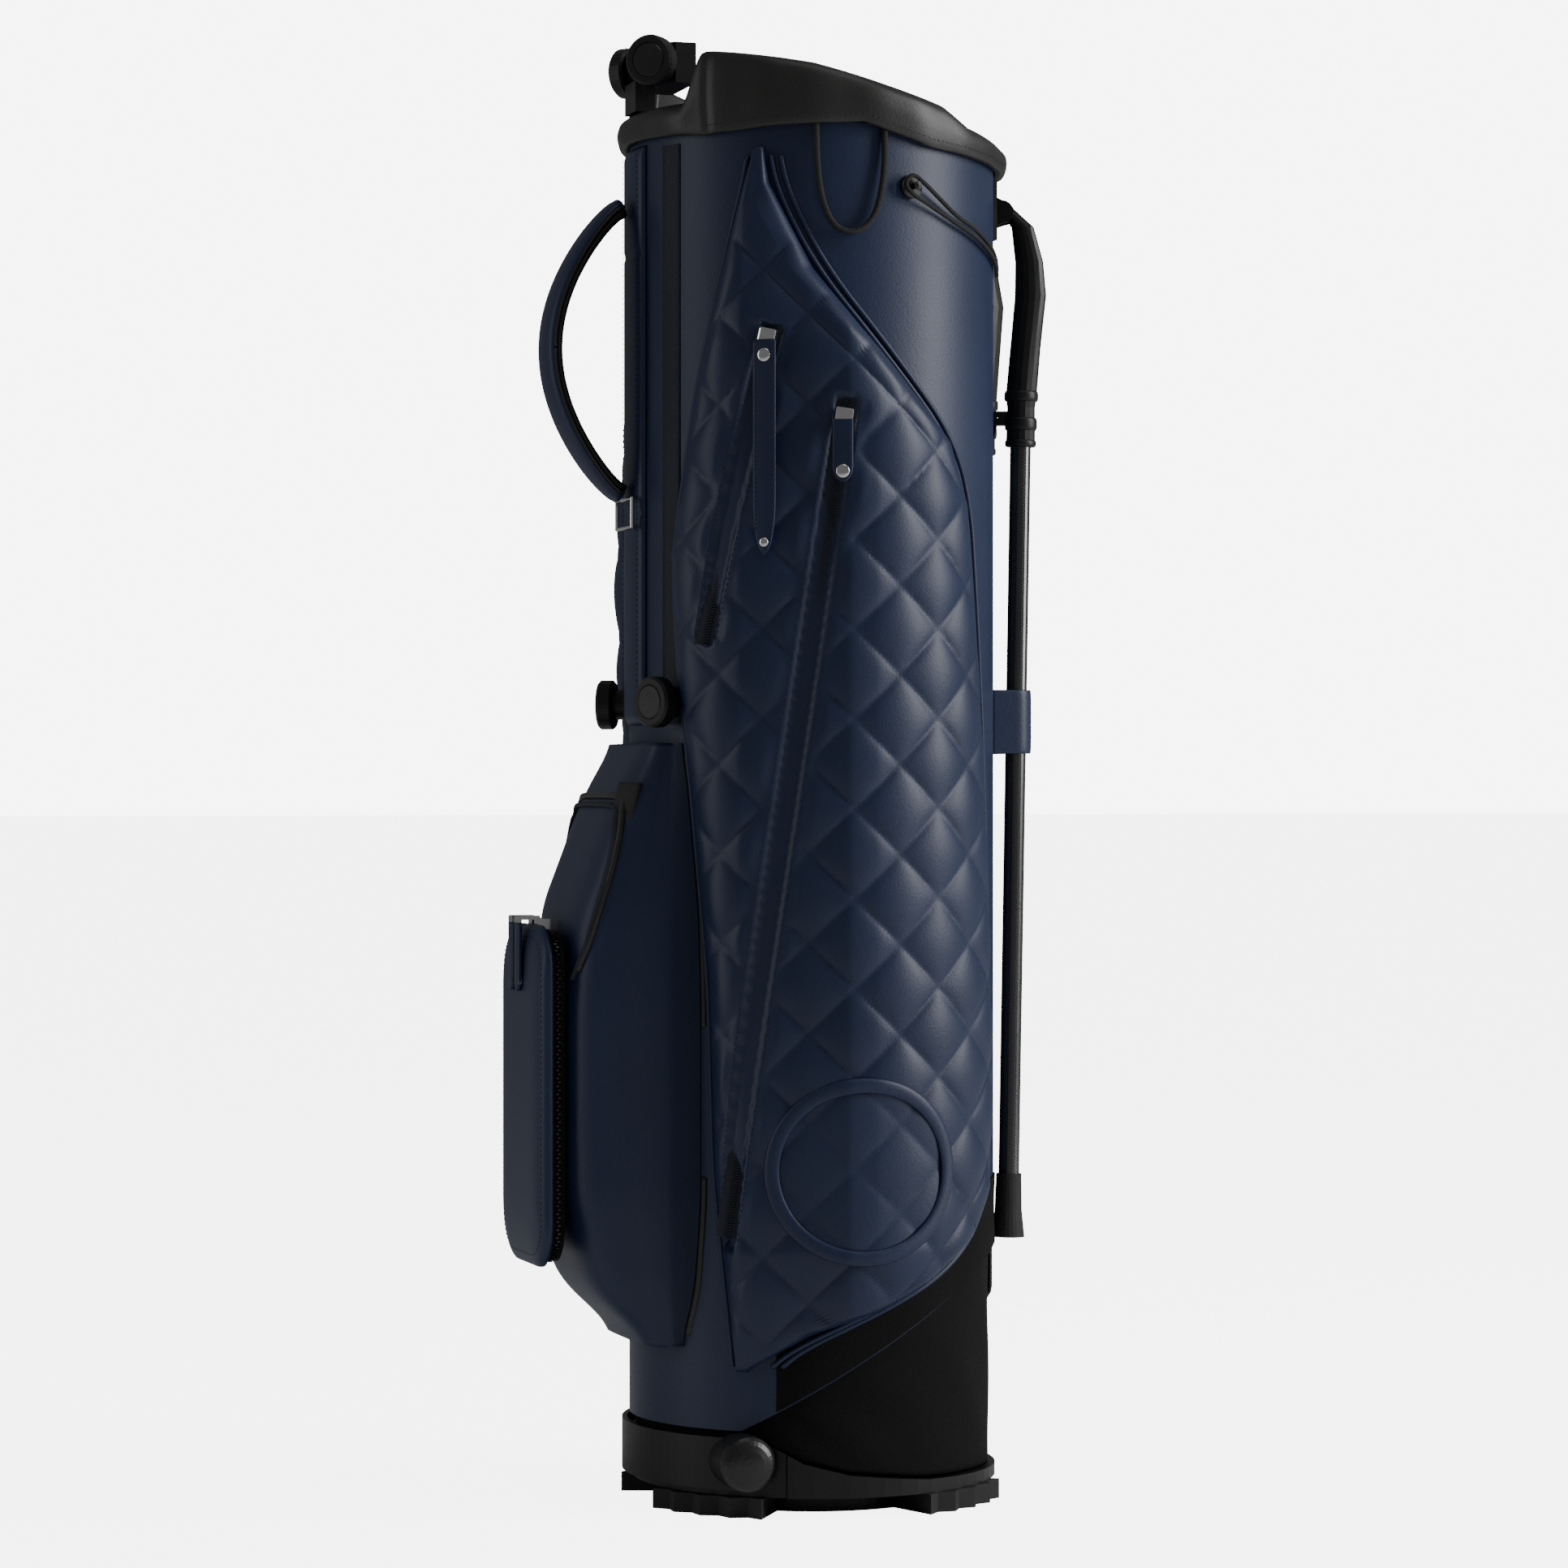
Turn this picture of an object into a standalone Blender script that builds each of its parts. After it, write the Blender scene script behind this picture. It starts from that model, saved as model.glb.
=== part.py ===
"""A golf stand bag: a tube body with a padded top cuff, pockets, a carry handle and harness buckles, two
legs that swing out on a bracket, and a foot that the whole bag tilts on.

Metres, +Z up. The origin is on the floor, on the tube's axis. +X points to the leg side, -X to the spine
with the handle, and -Y is the near side. Angles round the tube are measured from -Y towards +X, in degrees.
"""

import bmesh
import bpy
import numpy as np
from mathutils import Matrix, Vector

GAP = 0.0003  # between pieces that touch
PIN_GAP = 0.00008  # radial, between a pin and its bore

# Tube, flattened on the leg side
TUBE_R = 0.110
TUBE_WALL = 0.003
TUBE_FLAT_X = 0.100
TUBE_TOP = 0.811
TUBE_TOP_SLOPE = -0.07

# Foot that stands on the ground
FOOT_R = 0.1105
FOOT_NESTED_R = 0.1080
FOOT_WALL = 0.004
FOOT_PLATE_R = 0.080
FOOT_PLATE_T = 0.006
FOOT_SKIRT_Z = 0.012
FOOT_WALL_MOST = 0.0440
NEST_PAST_PIVOT = 0.024  # how far in front of the pivot the yoke still laps the foot
FOOT_WAVE = ((-0.2, 0.042), (-0.054, 0.042), (-0.037, 0.032), (-0.010, 0.025), (0.040, 0.020), (0.2, 0.018))
CLEAT_ANGLES = (-52.0, 40.0, 140.0, 232.0)
CLEAT_SPAN = 40.0
CLEAT_R = 0.115
CLEAT_TEETH = 4

# Tilt hinge between the foot and the bag
PIVOT_X = -0.070
PIVOT_Z = 0.033
TILT_MOST = 28.0
TILT_ROOM = 3.0  # extra degrees of wedge under the tube
PIVOT_PIN_R = 0.004
DOME_R = 0.0165
DOME_DEPTH = 0.007
YOKE_R = 0.1145
YOKE_GAP = 0.0034
YOKE_LOW = 0.016
YOKE_TOP = 0.0465
REAR_BOTTOM = 0.0502
GUSSET_SLOT = (0.040, 0.010, 0.070)

# Cuff round the mouth
CUFF_R = 0.1175
CUFF_LIP_R = 0.0990
NOTCH_TOP = 0.8265
NOTCH_HALF = 36.0

# Spine, handle and harness buckles
SPINE_T = 0.0045
SPINE_HALF = 10.0
SPINE_LOW = 0.462
HANDLE_TOP = 0.770
HANDLE_LOW = 0.600
HANDLE_REACH = 0.043
HANDLE_WIDE = 0.030
HANDLE_THICK = 0.012
HANDLE_SEAT = 0.0040  # from the spine panel to the middle of the handle's ends
BUCKLE_R = 0.0150
BUCKLE_T = 0.0100
BUCKLE_POST_R = 0.009
BUTTON_R = 0.0100
BUTTON_T = 0.0040
BUTTON_TRAVEL = 0.0015
LOW_BUCKLE_ANGLE = 64.0
LOW_BUCKLE_Z = 0.475
LOW_BUCKLE_POST = 0.010
HUB_X = -0.100
HUB_Z = 0.855
HUB_HALF_Y = 0.019
TOP_BUCKLE_TURN = 50.0

# Side pockets
POCKET_REACH = 0.0200
ZIP_WIDE = 0.0080
ZIP_THICK = 0.0020
ZIP_GROOVE = 0.0145
SLIDER_SIZE = (0.0105, 0.0064, 0.0140)
PULL_OFF = 0.0074
PULL_T = 0.0020
PULL_ABOVE = 0.0008  # how far a pull reaches above its hinge

# Ball pocket, its pouch and the pouch's zip
BALL_REACH = 0.1650
BALL_TOP = 0.452
BALL_LOW = 0.096
BALL_HALF_Y = 0.066
POUCH_ZIP_T = 0.0080
POUCH_T = 0.0085
POUCH_TOP = 0.344
POUCH_LOW = 0.143
POUCH_HALF_Y = 0.050

# Legs, their bracket and their push rods
LEG_SWING_TURN = 25.0
HINGE = (0.1110, 0.0320, 0.7720)
HINGE_PIN_R = 0.0022
HINGE_EYE_R = 0.0050
EAR_GAP = 0.0100
EAR_T = 0.0020
EAR_R = 0.0070
BRACKET_T = 0.0028
LEG_TUBE_R = 0.00625
LEG_TOP = (0.1215, 0.0360, 0.6680)
LEG_END = (0.1130, 0.0360, 0.1700)
SLEEVE_LOW_Z = 0.632
LEG_FOOT_H = 0.038
ROD_R = 0.0016
ROD_TOP = (0.1080, 0.0270, 0.6480)
ROD_END = (0.0060, 0.0250, 0.0200)
ROD_AXIS = (0.3875, 0.9199, -0.0600)
ROD_BEND = (0.1050, 0.0250, 0.1200)
SEAT_CHEEK_T = 0.0030
SEAT_CHEEKS = (-0.0080, 0.0045)  # from the rod to its outer and inner cheek

# Strap round both legs
KEEPER_Z = 0.4645
KEEPER_H = 0.039
KEEPER_T = 0.0020

# Small cords on the near side
TOWEL_CORD_R = 0.0019
TOWEL_POINTS = 30
ELASTIC_R = 0.0013
ELASTIC_POINTS = 50

COLOURS = {
    "navy": ((0.030, 0.042, 0.080, 1.0), 0.50, 0.0),
    "black_leather": ((0.030, 0.030, 0.030, 1.0), 0.55, 0.0),
    "black_fabric": ((0.008, 0.008, 0.010, 1.0), 0.80, 0.0),
    "black_plastic": ((0.012, 0.012, 0.012, 1.0), 0.40, 0.0),
    "rubber": ((0.015, 0.015, 0.015, 1.0), 0.70, 0.0),
    "carbon": ((0.020, 0.020, 0.022, 1.0), 0.25, 0.2),
    "steel": ((0.75, 0.75, 0.75, 1.0), 0.20, 1.0),
    "aluminium": ((0.60, 0.60, 0.62, 1.0), 0.35, 1.0),
}


def clear_scene():
    for old in list(bpy.data.objects):
        bpy.data.objects.remove(old, do_unlink=True)


def material(name):
    found = bpy.data.materials.get(name)
    if found:
        return found
    colour, roughness, metallic = COLOURS[name]
    made = bpy.data.materials.new(name)
    made.use_nodes = True
    shader = made.node_tree.nodes["Principled BSDF"]
    shader.inputs["Base Color"].default_value = colour
    shader.inputs["Roughness"].default_value = roughness
    shader.inputs["Metallic"].default_value = metallic
    return made


def add_object(name, data, finish):
    made = bpy.data.objects.new(name, data)
    bpy.context.scene.collection.objects.link(made)
    if finish:
        data.materials.append(material(finish))
    return made


def mesh_object(name, form, finish, smooth=True):
    """Turns a bmesh into an object, with its faces pointing out."""
    bmesh.ops.remove_doubles(form, verts=form.verts, dist=1e-6)
    bmesh.ops.recalc_face_normals(form, faces=form.faces)
    data = bpy.data.meshes.new(name)
    form.to_mesh(data)
    form.free()
    if smooth:
        data.shade_smooth()
        data.set_sharp_from_angle(angle=np.radians(35))
    return add_object(name, data, finish)


def around(angle, radius, height=0.0):
    """The point at this angle from -Y towards +X, this far from the tube's axis."""
    turn = np.radians(angle)
    return Vector((radius * np.sin(turn), -radius * np.cos(turn), height))


def loft(name, rings, finish, closed=False, smooth=True):
    """Skins closed rings of points, each with as many points as the others, and caps the two ends."""
    form = bmesh.new()
    loops = [[form.verts.new(point) for point in ring] for ring in rings]
    pairs = list(zip(loops, loops[1:]))
    if closed:
        pairs.append((loops[-1], loops[0]))
    for first, second in pairs:
        for i in range(len(first)):
            j = (i + 1) % len(first)
            form.faces.new((first[i], first[j], second[j], second[i]))
    if not closed:
        form.faces.new(loops[0])
        form.faces.new(loops[-1])
    return mesh_object(name, form, finish, smooth)


def turned(name, profile, origin, axis, finish, steps=32):
    """Spins a profile of (radius, height) points round an axis. The profile starts and ends on the axis."""
    form = bmesh.new()
    basis = Vector(axis).to_track_quat("Z", "Y").to_matrix().to_4x4()
    place = Matrix.Translation(origin) @ basis
    rows = []
    for radius, height in profile:
        if radius == 0:
            rows.append([form.verts.new(place @ Vector((0, 0, height)))])
            continue
        turns = [2 * np.pi * k / steps for k in range(steps)]
        ring = [Vector((radius * np.cos(t), radius * np.sin(t), height)) for t in turns]
        rows.append([form.verts.new(place @ point) for point in ring])
    for first, second in zip(rows, rows[1:]):
        for k in range(steps):
            n = (k + 1) % steps
            corners = [first[k % len(first)], first[n % len(first)]]
            corners += [second[n % len(second)], second[k % len(second)]]
            form.faces.new(list(dict.fromkeys(corners)))
    return mesh_object(name, form, finish)


def cylinder(name, start, end, radius, finish, steps=24):
    """A solid round bar from start to end."""
    start, end = Vector(start), Vector(end)
    length = (end - start).length
    profile = [(0, 0), (radius, 0), (radius, length), (0, length)]
    return turned(name, profile, start, end - start, finish, steps)


def block(name, size, place, finish):
    """A box of this size, put in place by a matrix."""
    form = bmesh.new()
    bmesh.ops.create_cube(form, size=1.0)
    bmesh.ops.scale(form, vec=size, verts=form.verts)
    bmesh.ops.transform(form, matrix=place, verts=form.verts)
    return mesh_object(name, form, finish, smooth=False)


def prism(name, outline, low_y, high_y):
    """An outline of (x, z) points carried along Y, kept as a cutter."""
    rings = [[Vector((x, y, z)) for x, z in outline] for y in (low_y, high_y)]
    return as_cutter(loft(name, rings, None, smooth=False))


def as_cutter(tool):
    tool.hide_render = True
    tool.display_type = "WIRE"
    return tool


def boolean(target, tool, operation):
    step = target.modifiers.new(operation.lower() + "_" + tool.name, "BOOLEAN")
    step.operation = operation
    step.object = as_cutter(tool)
    step.solver = "EXACT"
    return target


def cut(target, tool):
    return boolean(target, tool, "DIFFERENCE")


def join(target, tool):
    return boolean(target, tool, "UNION")


def rounded_bevel(target, width, segments=2):
    step = target.modifiers.new("edge", "BEVEL")
    step.width = width
    step.segments = segments
    step.limit_method = "ANGLE"
    return target


def band(name, angles, low_radius, high_radius, low, high, finish):
    """A curved plate round the tube. low and high give the edge heights at an angle."""
    rings = []
    for angle in angles:
        bottom, top = low(angle), high(angle)
        rings.append([
            around(angle, low_radius, bottom), around(angle, high_radius, bottom),
            around(angle, high_radius, top), around(angle, low_radius, top),
        ])
    whole = abs(angles[-1] - angles[0]) > 359
    return loft(name, rings[:-1] if whole else rings, finish, closed=whole)


def wedge_height(x, slope_degrees, rear):
    """Height of the underside of the tilting tube: flat behind the pivot, rising in front of it."""
    return rear + np.tan(np.radians(slope_degrees)) * max(0.0, x - PIVOT_X)


def tube_bottom(x):
    return wedge_height(x, TILT_MOST + TILT_ROOM, REAR_BOTTOM)


def foot_top(x):
    """Height of the foot's wall: low behind the pivot, highest beside it, falling to the leg side."""
    return float(np.interp(x, *zip(*FOOT_WAVE)))


def under_tube_cutter(name, lift):
    """Everything below the tube's sloping underside, raised by lift."""
    reach = 2 * TUBE_R
    outline = [
        (-reach, -0.1), (-reach, REAR_BOTTOM + lift), (PIVOT_X, REAR_BOTTOM + lift),
        (reach, tube_bottom(reach) + lift), (reach, -0.1),
    ]
    return prism(name, outline, -reach, reach)


# ---------------------------------------------------------------- foot

def make_foot():
    """The moulded shoe: a flat plate in the middle, a raised skirt, and a low wall cut to its wave."""
    inner = FOOT_NESTED_R - FOOT_WALL
    wall_top = FOOT_WALL_MOST
    floor = FOOT_SKIRT_Z + FOOT_WALL
    profile = [
        (0, 0), (FOOT_PLATE_R, 0), (FOOT_PLATE_R, FOOT_SKIRT_Z), (FOOT_R, FOOT_SKIRT_Z), (FOOT_R, wall_top),
        (inner, wall_top), (inner, floor), (FOOT_PLATE_R - FOOT_WALL, floor),
        (FOOT_PLATE_R - FOOT_WALL, FOOT_PLATE_T), (0, FOOT_PLATE_T),
    ]
    shell = turned("foot_shell", profile, (0, 0, 0), (0, 0, 1), "black_plastic", 64)
    reach = 2 * FOOT_R
    outline = list(FOOT_WAVE) + [(0.2, 0.2), (-0.2, 0.2)]
    cut(shell, prism("foot_wave_cutter", outline, -reach, reach))
    nest_place = Matrix.Translation((PIVOT_X + NEST_PAST_PIVOT - reach / 2, 0, 0.054))
    nest = block("foot_nest_cutter", (reach, 2 * reach, 0.1), nest_place, None)
    cut(nest, cylinder("foot_nest_core", (0, 0, -0.1), (0, 0, 0.2), FOOT_NESTED_R, None, 64))
    cut(shell, nest)
    pin_hole = cylinder(
        "foot_pin_cutter", (PIVOT_X, -reach, PIVOT_Z), (PIVOT_X, reach, PIVOT_Z), PIVOT_PIN_R + PIN_GAP, None, 32
    )
    cut(shell, pin_hole)
    top = FOOT_PLATE_T
    for label, side in (("near", -1), ("far", 1)):
        for n, off in enumerate(SEAT_CHEEKS):
            size = (0.026, SEAT_CHEEK_T, 0.022)
            place = Matrix.Translation((ROD_END[0], side * (ROD_END[1] - off), top + size[2] / 2 - 0.001))
            join(shell, block(f"seat_cheek_{label}_{n}", size, place, None))


def make_cleats():
    """Four rubber grips under the skirt, with teeth along their outer edge."""
    for number, middle in enumerate(CLEAT_ANGLES, 1):
        steps = 2 * CLEAT_TEETH
        rings = []
        for k in range(steps + 1):
            angle = middle + CLEAT_SPAN * (k / steps - 0.5)
            outer = CLEAT_R - (0.0 if k % 2 == 0 else 0.005)
            top = FOOT_SKIRT_Z - GAP
            rings.append([
                around(angle, FOOT_PLATE_R + GAP, 0), around(angle, outer, 0),
                around(angle, outer, top), around(angle, FOOT_PLATE_R + GAP, top),
            ])
        loft(f"cleat_{number}", rings, "rubber", smooth=False)


# ---------------------------------------------------------------- tube and its lower end

def tube_ring(inset, height, steps=64):
    """A level outline of the tube, drawn in by inset: a circle with its leg side cut flat."""
    radius, flat = TUBE_R - inset, TUBE_FLAT_X - inset
    turns = [2 * np.pi * k / steps for k in range(steps)]
    return [Vector((min(radius * np.cos(t), flat), radius * np.sin(t), height)) for t in turns]


def tube_top(x):
    return TUBE_TOP + TUBE_TOP_SLOPE * x


def over_tube_cutter(name, drop):
    """Everything above the tube's slanted top edge, lowered by drop."""
    reach = 2 * TUBE_R
    outline = [(-reach, tube_top(-reach) - drop), (reach, tube_top(reach) - drop), (reach, 1.0), (-reach, 1.0)]
    return prism(name, outline, -reach, reach)


def make_tube():
    """The bag's wall: a tube closed below by a sloping floor, open at the mouth."""
    tube = loft("body_tube", [tube_ring(0, 0.02), tube_ring(0, 0.9)], "navy")
    cut(tube, under_tube_cutter("tube_under_cutter", 0.0))
    cut(tube, over_tube_cutter("tube_over_cutter", 0.0))
    hollow = as_cutter(loft("tube_hollow_cutter", [tube_ring(TUBE_WALL, 0.02), tube_ring(TUBE_WALL, 0.95)], None))
    cut(hollow, under_tube_cutter("tube_floor_cutter", TUBE_WALL))
    cut(tube, hollow)


def make_gusset():
    """The soft black wall between foot and tube, which folds as the bag tilts. The rods pass two slots."""
    angles = list(np.linspace(0, 360, 65))
    inner, outer = FOOT_NESTED_R - 0.0035, FOOT_NESTED_R - 0.0005

    def low(angle):
        return max(foot_top(radius * np.sin(np.radians(angle))) for radius in (inner, outer)) + 6 * GAP

    def high(angle):
        return min(tube_bottom(radius * np.sin(np.radians(angle))) for radius in (inner, outer)) - 0.002

    gusset = band("base_gusset", angles, inner, outer, low, high, "black_fabric")
    for label, side in (("near", -1), ("far", 1)):
        place = Matrix.Translation((ROD_BEND[0], side * ROD_BEND[1], ROD_BEND[2] + GUSSET_SLOT[2] / 2 - 0.022))
        cut(gusset, block(f"gusset_slot_{label}", GUSSET_SLOT, place, None))


def make_yoke():
    """The moulded heel band that wraps the spine side and carries the tilt hinge's two bosses."""
    inner = FOOT_NESTED_R + YOKE_GAP
    pivot_angle = -np.degrees(np.arcsin(-PIVOT_X / YOKE_R))
    angles = list(np.linspace(pivot_angle, -180 - pivot_angle, 33))
    yoke = band("heel_yoke", angles, inner, YOKE_R, lambda a: YOKE_LOW, lambda a: YOKE_TOP, "black_plastic")
    boss_face = YOKE_R * np.cos(np.radians(pivot_angle)) + 0.0075
    for label, side in (("near", -1), ("far", 1)):
        boss = cylinder(
            f"boss_{label}", (PIVOT_X, side * 0.070, PIVOT_Z), (PIVOT_X, side * boss_face, PIVOT_Z),
            DOME_R, None, 32,
        )
        cut(boss, cylinder(f"boss_cutter_{label}", (0, 0, -0.1), (0, 0, 0.2), inner, None, 96))
        join(yoke, boss)
    reach = 2 * YOKE_R
    bore = PIVOT_PIN_R + PIN_GAP
    cut(yoke, cylinder("yoke_pin_cutter", (PIVOT_X, -reach, PIVOT_Z), (PIVOT_X, reach, PIVOT_Z), bore, None, 32))
    for label, side in (("near", -1), ("far", 1)):
        face = GAP
        dome = [
            (DOME_R * np.cos(t), face + 0.002 + DOME_DEPTH * np.sin(t))
            for t in np.linspace(0, np.pi / 2, 7)[:-1]
        ]
        pin_end = 0.073 - boss_face
        profile = [(0, pin_end), (PIVOT_PIN_R, pin_end), (PIVOT_PIN_R, face), (DOME_R, face)]
        profile += dome + [(0, face + 0.002 + DOME_DEPTH)]
        turned(f"pivot_dome_{label}", profile, (PIVOT_X, side * boss_face, PIVOT_Z), (0, side, 0), "black_plastic")


# ---------------------------------------------------------------- mouth

# Crest and lower edge of the cuff as heights along X, from the spine side to the leg side.
CUFF_CREST = ((-0.117, 0.857), (-0.088, 0.855), (-0.034, 0.846), (0.013, 0.834), (0.051, 0.825), (0.071, 0.815),
              (0.112, 0.8085), (0.118, 0.8080))
CUFF_HEM = ((-0.118, 0.809), (-0.092, 0.807), (-0.051, 0.810), (-0.004, 0.812), (0.013, 0.807), (0.040, 0.800),
            (0.112, 0.7935), (0.118, 0.793))


def cuff_top(angle):
    """Height of the cuff's crest: sloping down to the leg side, with a low notch at the spine."""
    x = CUFF_R * np.sin(np.radians(angle))
    crest = np.interp(x, *zip(*CUFF_CREST))
    from_spine = abs((angle + 90 + 180) % 360 - 180)
    share = np.clip((from_spine - NOTCH_HALF + 5) / 8, 0, 1)
    return float(NOTCH_TOP + (crest - NOTCH_TOP) * share)


def cuff_bottom(angle):
    return float(np.interp(CUFF_R * np.sin(np.radians(angle)), *zip(*CUFF_HEM)))


def make_cuff():
    """The padded collar: one soft profile carried round the mouth, over the tube's top edge."""
    rings = []
    seat = TUBE_R + 2 * GAP
    for angle in np.linspace(0, 360, 73)[:-1]:
        low, top = cuff_bottom(angle), cuff_top(angle)
        over = tube_top(seat * np.sin(np.radians(angle))) + 0.0010
        middle = low + (top - low) * 0.55
        section = [
            (seat, low), (CUFF_R - 0.0015, low + 0.001), (CUFF_R, middle), (CUFF_R - 0.002, top - 0.0035),
            (CUFF_R - 0.008, top), (CUFF_LIP_R + 0.002, top - 0.001), (CUFF_LIP_R, over), (seat, over),
        ]
        rings.append([around(angle, radius, height) for radius, height in section])
    loft("top_cuff", rings, "black_leather", closed=True)


def make_dividers():
    """A moulded four-way grid under the cuff, and the full-length fabric walls that hang from it."""
    low, high = 0.785, 0.797
    bar = 0.006
    inset = TUBE_WALL + GAP
    thick = 0.005
    grid = loft("divider_grid", [tube_ring(inset, low), tube_ring(inset, high)], "black_plastic")
    opening = [tube_ring(inset + thick, low - 0.01), tube_ring(inset + thick, high + 0.01)]
    well = as_cutter(loft("grid_well_cutter", opening, None))
    reach = 2 * TUBE_R
    middle = (low + high) / 2
    for label, size in (("x", (reach, bar, 0.1)), ("y", (bar, reach, 0.1))):
        cut(well, block(f"grid_bar_{label}", size, Matrix.Translation((0, 0, middle)), None))
    cut(grid, well)
    wall = 0.002
    wall_top = low - GAP
    trim = TUBE_WALL + 2 * GAP
    walls = loft("divider_walls", [tube_ring(trim, 0.06), tube_ring(trim, wall_top)], "black_fabric")
    cut(walls, under_tube_cutter("walls_under_cutter", TUBE_WALL + 2 * GAP))
    quarter = 0.2
    for n, (x_side, y_side) in enumerate(((1, 1), (-1, 1), (-1, -1), (1, -1))):
        place = Matrix.Translation((x_side * (quarter + wall) / 2, y_side * (quarter + wall) / 2, 0.4))
        cut(walls, block(f"walls_cutter_{n}", (quarter, quarter, 1.0), place, None))


def make_stays():
    """Two stiff rods inside the wall at the spine, from the sloping floor up to the grid."""
    radius = 0.003
    for label, angle in (("near", -62.0), ("far", -118.0)):
        seat = TUBE_R - TUBE_WALL - radius - 2 * GAP
        start = around(angle, seat, REAR_BOTTOM + TUBE_WALL + 0.006)
        end = around(angle, seat, 0.785 - GAP)
        cylinder(f"spine_stay_{label}", start, end, radius, "aluminium", 12)


# ---------------------------------------------------------------- spine, handle, harness buckles

def make_spine():
    """The padded strip down the back, and the D-ended metal loop at the handle's lower end."""
    angles = list(np.linspace(-90 - SPINE_HALF, -90 + SPINE_HALF, 9))
    top = 0.806
    inner = TUBE_R + 2 * GAP
    band("spine_panel", angles, inner, inner + SPINE_T, lambda a: SPINE_LOW, lambda a: top, "navy")
    half_y, half_z, wire = 0.0175, 0.0085, 0.0014
    ring_x = -(inner + SPINE_T + GAP + wire)
    corners = [(-half_y, -half_z), (half_y, -half_z), (half_y, half_z), (-half_y, half_z)]
    ring_z = HANDLE_LOW - 0.012
    route = [Vector((ring_x, y, ring_z + z)) for y, z in corners]
    curve_object("handle_ring", route, wire, "steel", cyclic=True)


def make_handle():
    """The stitched carry handle: an oval section carried along a bow in the plane of the spine."""
    base = TUBE_R + SPINE_T + 3 * GAP + HANDLE_SEAT
    steps = 20
    rings = []
    for t in np.linspace(0, 1, steps + 1):
        bow = np.sin(np.pi * t) ** 0.75 * HANDLE_REACH
        height = HANDLE_TOP + (HANDLE_LOW - HANDLE_TOP) * t
        slope = np.cos(np.pi * t) * 0.85
        inward = Vector((np.cos(slope), 0, -np.sin(slope)))
        centre = Vector((-(base + bow), 0, height))
        ring = []
        for k in range(12):
            turn = 2 * np.pi * k / 12
            across = Vector((0, np.cos(turn) * HANDLE_WIDE / 2, 0))
            ring.append(centre + across + inward * np.sin(turn) * HANDLE_THICK / 2)
        rings.append(ring)
    loft("carry_handle", rings, "navy")


def make_buckle(label, origin, axis, post):
    """A round quick-release buckle: a post, a housing with a recess, and its push button."""
    recess = BUTTON_T - 0.0005
    profile = [
        (0, 0), (BUCKLE_POST_R, 0), (BUCKLE_POST_R, post), (BUCKLE_R - 0.0015, post), (BUCKLE_R, post + 0.0015),
        (BUCKLE_R, post + BUCKLE_T - 0.0015), (BUCKLE_R - 0.0015, post + BUCKLE_T),
        (BUTTON_R + GAP, post + BUCKLE_T), (BUTTON_R + GAP, post + BUCKLE_T - recess - BUTTON_TRAVEL - GAP),
        (0, post + BUCKLE_T - recess - BUTTON_TRAVEL - GAP),
    ]
    turned(f"buckle_{label}", profile, origin, axis, "black_plastic")
    face = post + BUCKLE_T + 0.0005
    button = [(0, face - BUTTON_T), (BUTTON_R, face - BUTTON_T), (BUTTON_R, face - 0.0006),
              (BUTTON_R - 0.0006, face), (0, face)]
    turned(f"button_{label}", button, origin, axis, "black_plastic")


def make_buckles():
    """Two buckles low on the spine side, and two on a hub that stands in the cuff's notch."""
    for label, angle in (("low_near", -LOW_BUCKLE_ANGLE), ("low_far", LOW_BUCKLE_ANGLE - 180)):
        axis = around(angle, 1.0)
        make_buckle(label, around(angle, TUBE_R + 2 * GAP, LOW_BUCKLE_Z), axis, LOW_BUCKLE_POST)
    turn = np.radians(TOP_BUCKLE_TURN)
    for label, side in (("top_near", -1), ("top_far", 1)):
        axis = Vector((-np.cos(turn), side * np.sin(turn), 0))
        seat = Vector((HUB_X - 0.001, side * HUB_HALF_Y, HUB_Z)) + axis * GAP
        make_buckle(label, seat, axis, 0.005)
    half = HUB_HALF_Y
    run = 0.011
    along = Vector((-np.sin(turn), -np.cos(turn), 0))
    far_corner = Vector((HUB_X - 0.001, half, 0))
    ahead, behind = far_corner + along * run, far_corner - along * run
    corners = [behind, ahead, Vector((ahead.x, -ahead.y, 0)), Vector((behind.x, -behind.y, 0)),
               Vector((HUB_X + 0.020, -behind.y, 0)), Vector((HUB_X + 0.020, behind.y, 0))]
    rings = [[Vector((c.x, c.y, z)) for c in corners] for z in (HUB_Z - 0.012, HUB_Z + 0.012)]
    hub = loft("harness_hub", rings, "black_plastic", smooth=False)
    neck_top, neck_low = HUB_Z - 0.010, NOTCH_TOP + GAP
    neck_place = Matrix.Translation((-0.1075, 0, (neck_top + neck_low) / 2))
    join(hub, block("hub_neck", (0.012, 0.024, neck_top - neck_low), neck_place, None))


# ---------------------------------------------------------------- side pockets

# Edges of a side pocket as (height, angle from the pocket's own middle), bottom to top.
POCKET_REAR_EDGE = ((0.085, -40), (0.20, -47), (0.315, -49), (0.42, -55), (0.50, -61), (0.56, -63), (0.66, -53),
                    (0.80, -34))
POCKET_FRONT_EDGE = ((0.085, -37), (0.087, -36), (0.108, -17), (0.120, 2), (0.138, 21), (0.162, 39), (0.190, 49),
                     (0.264, 51), (0.360, 48), (0.458, 44), (0.529, 40), (0.590, 36), (0.627, 28), (0.655, 14),
                     (0.693, -3), (0.726, -17), (0.776, -30), (0.80, -32))
FACET_TURN = -21.8  # the straight face that carries the zips, as an angle round the tube
FACET_AT = 0.126


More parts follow.
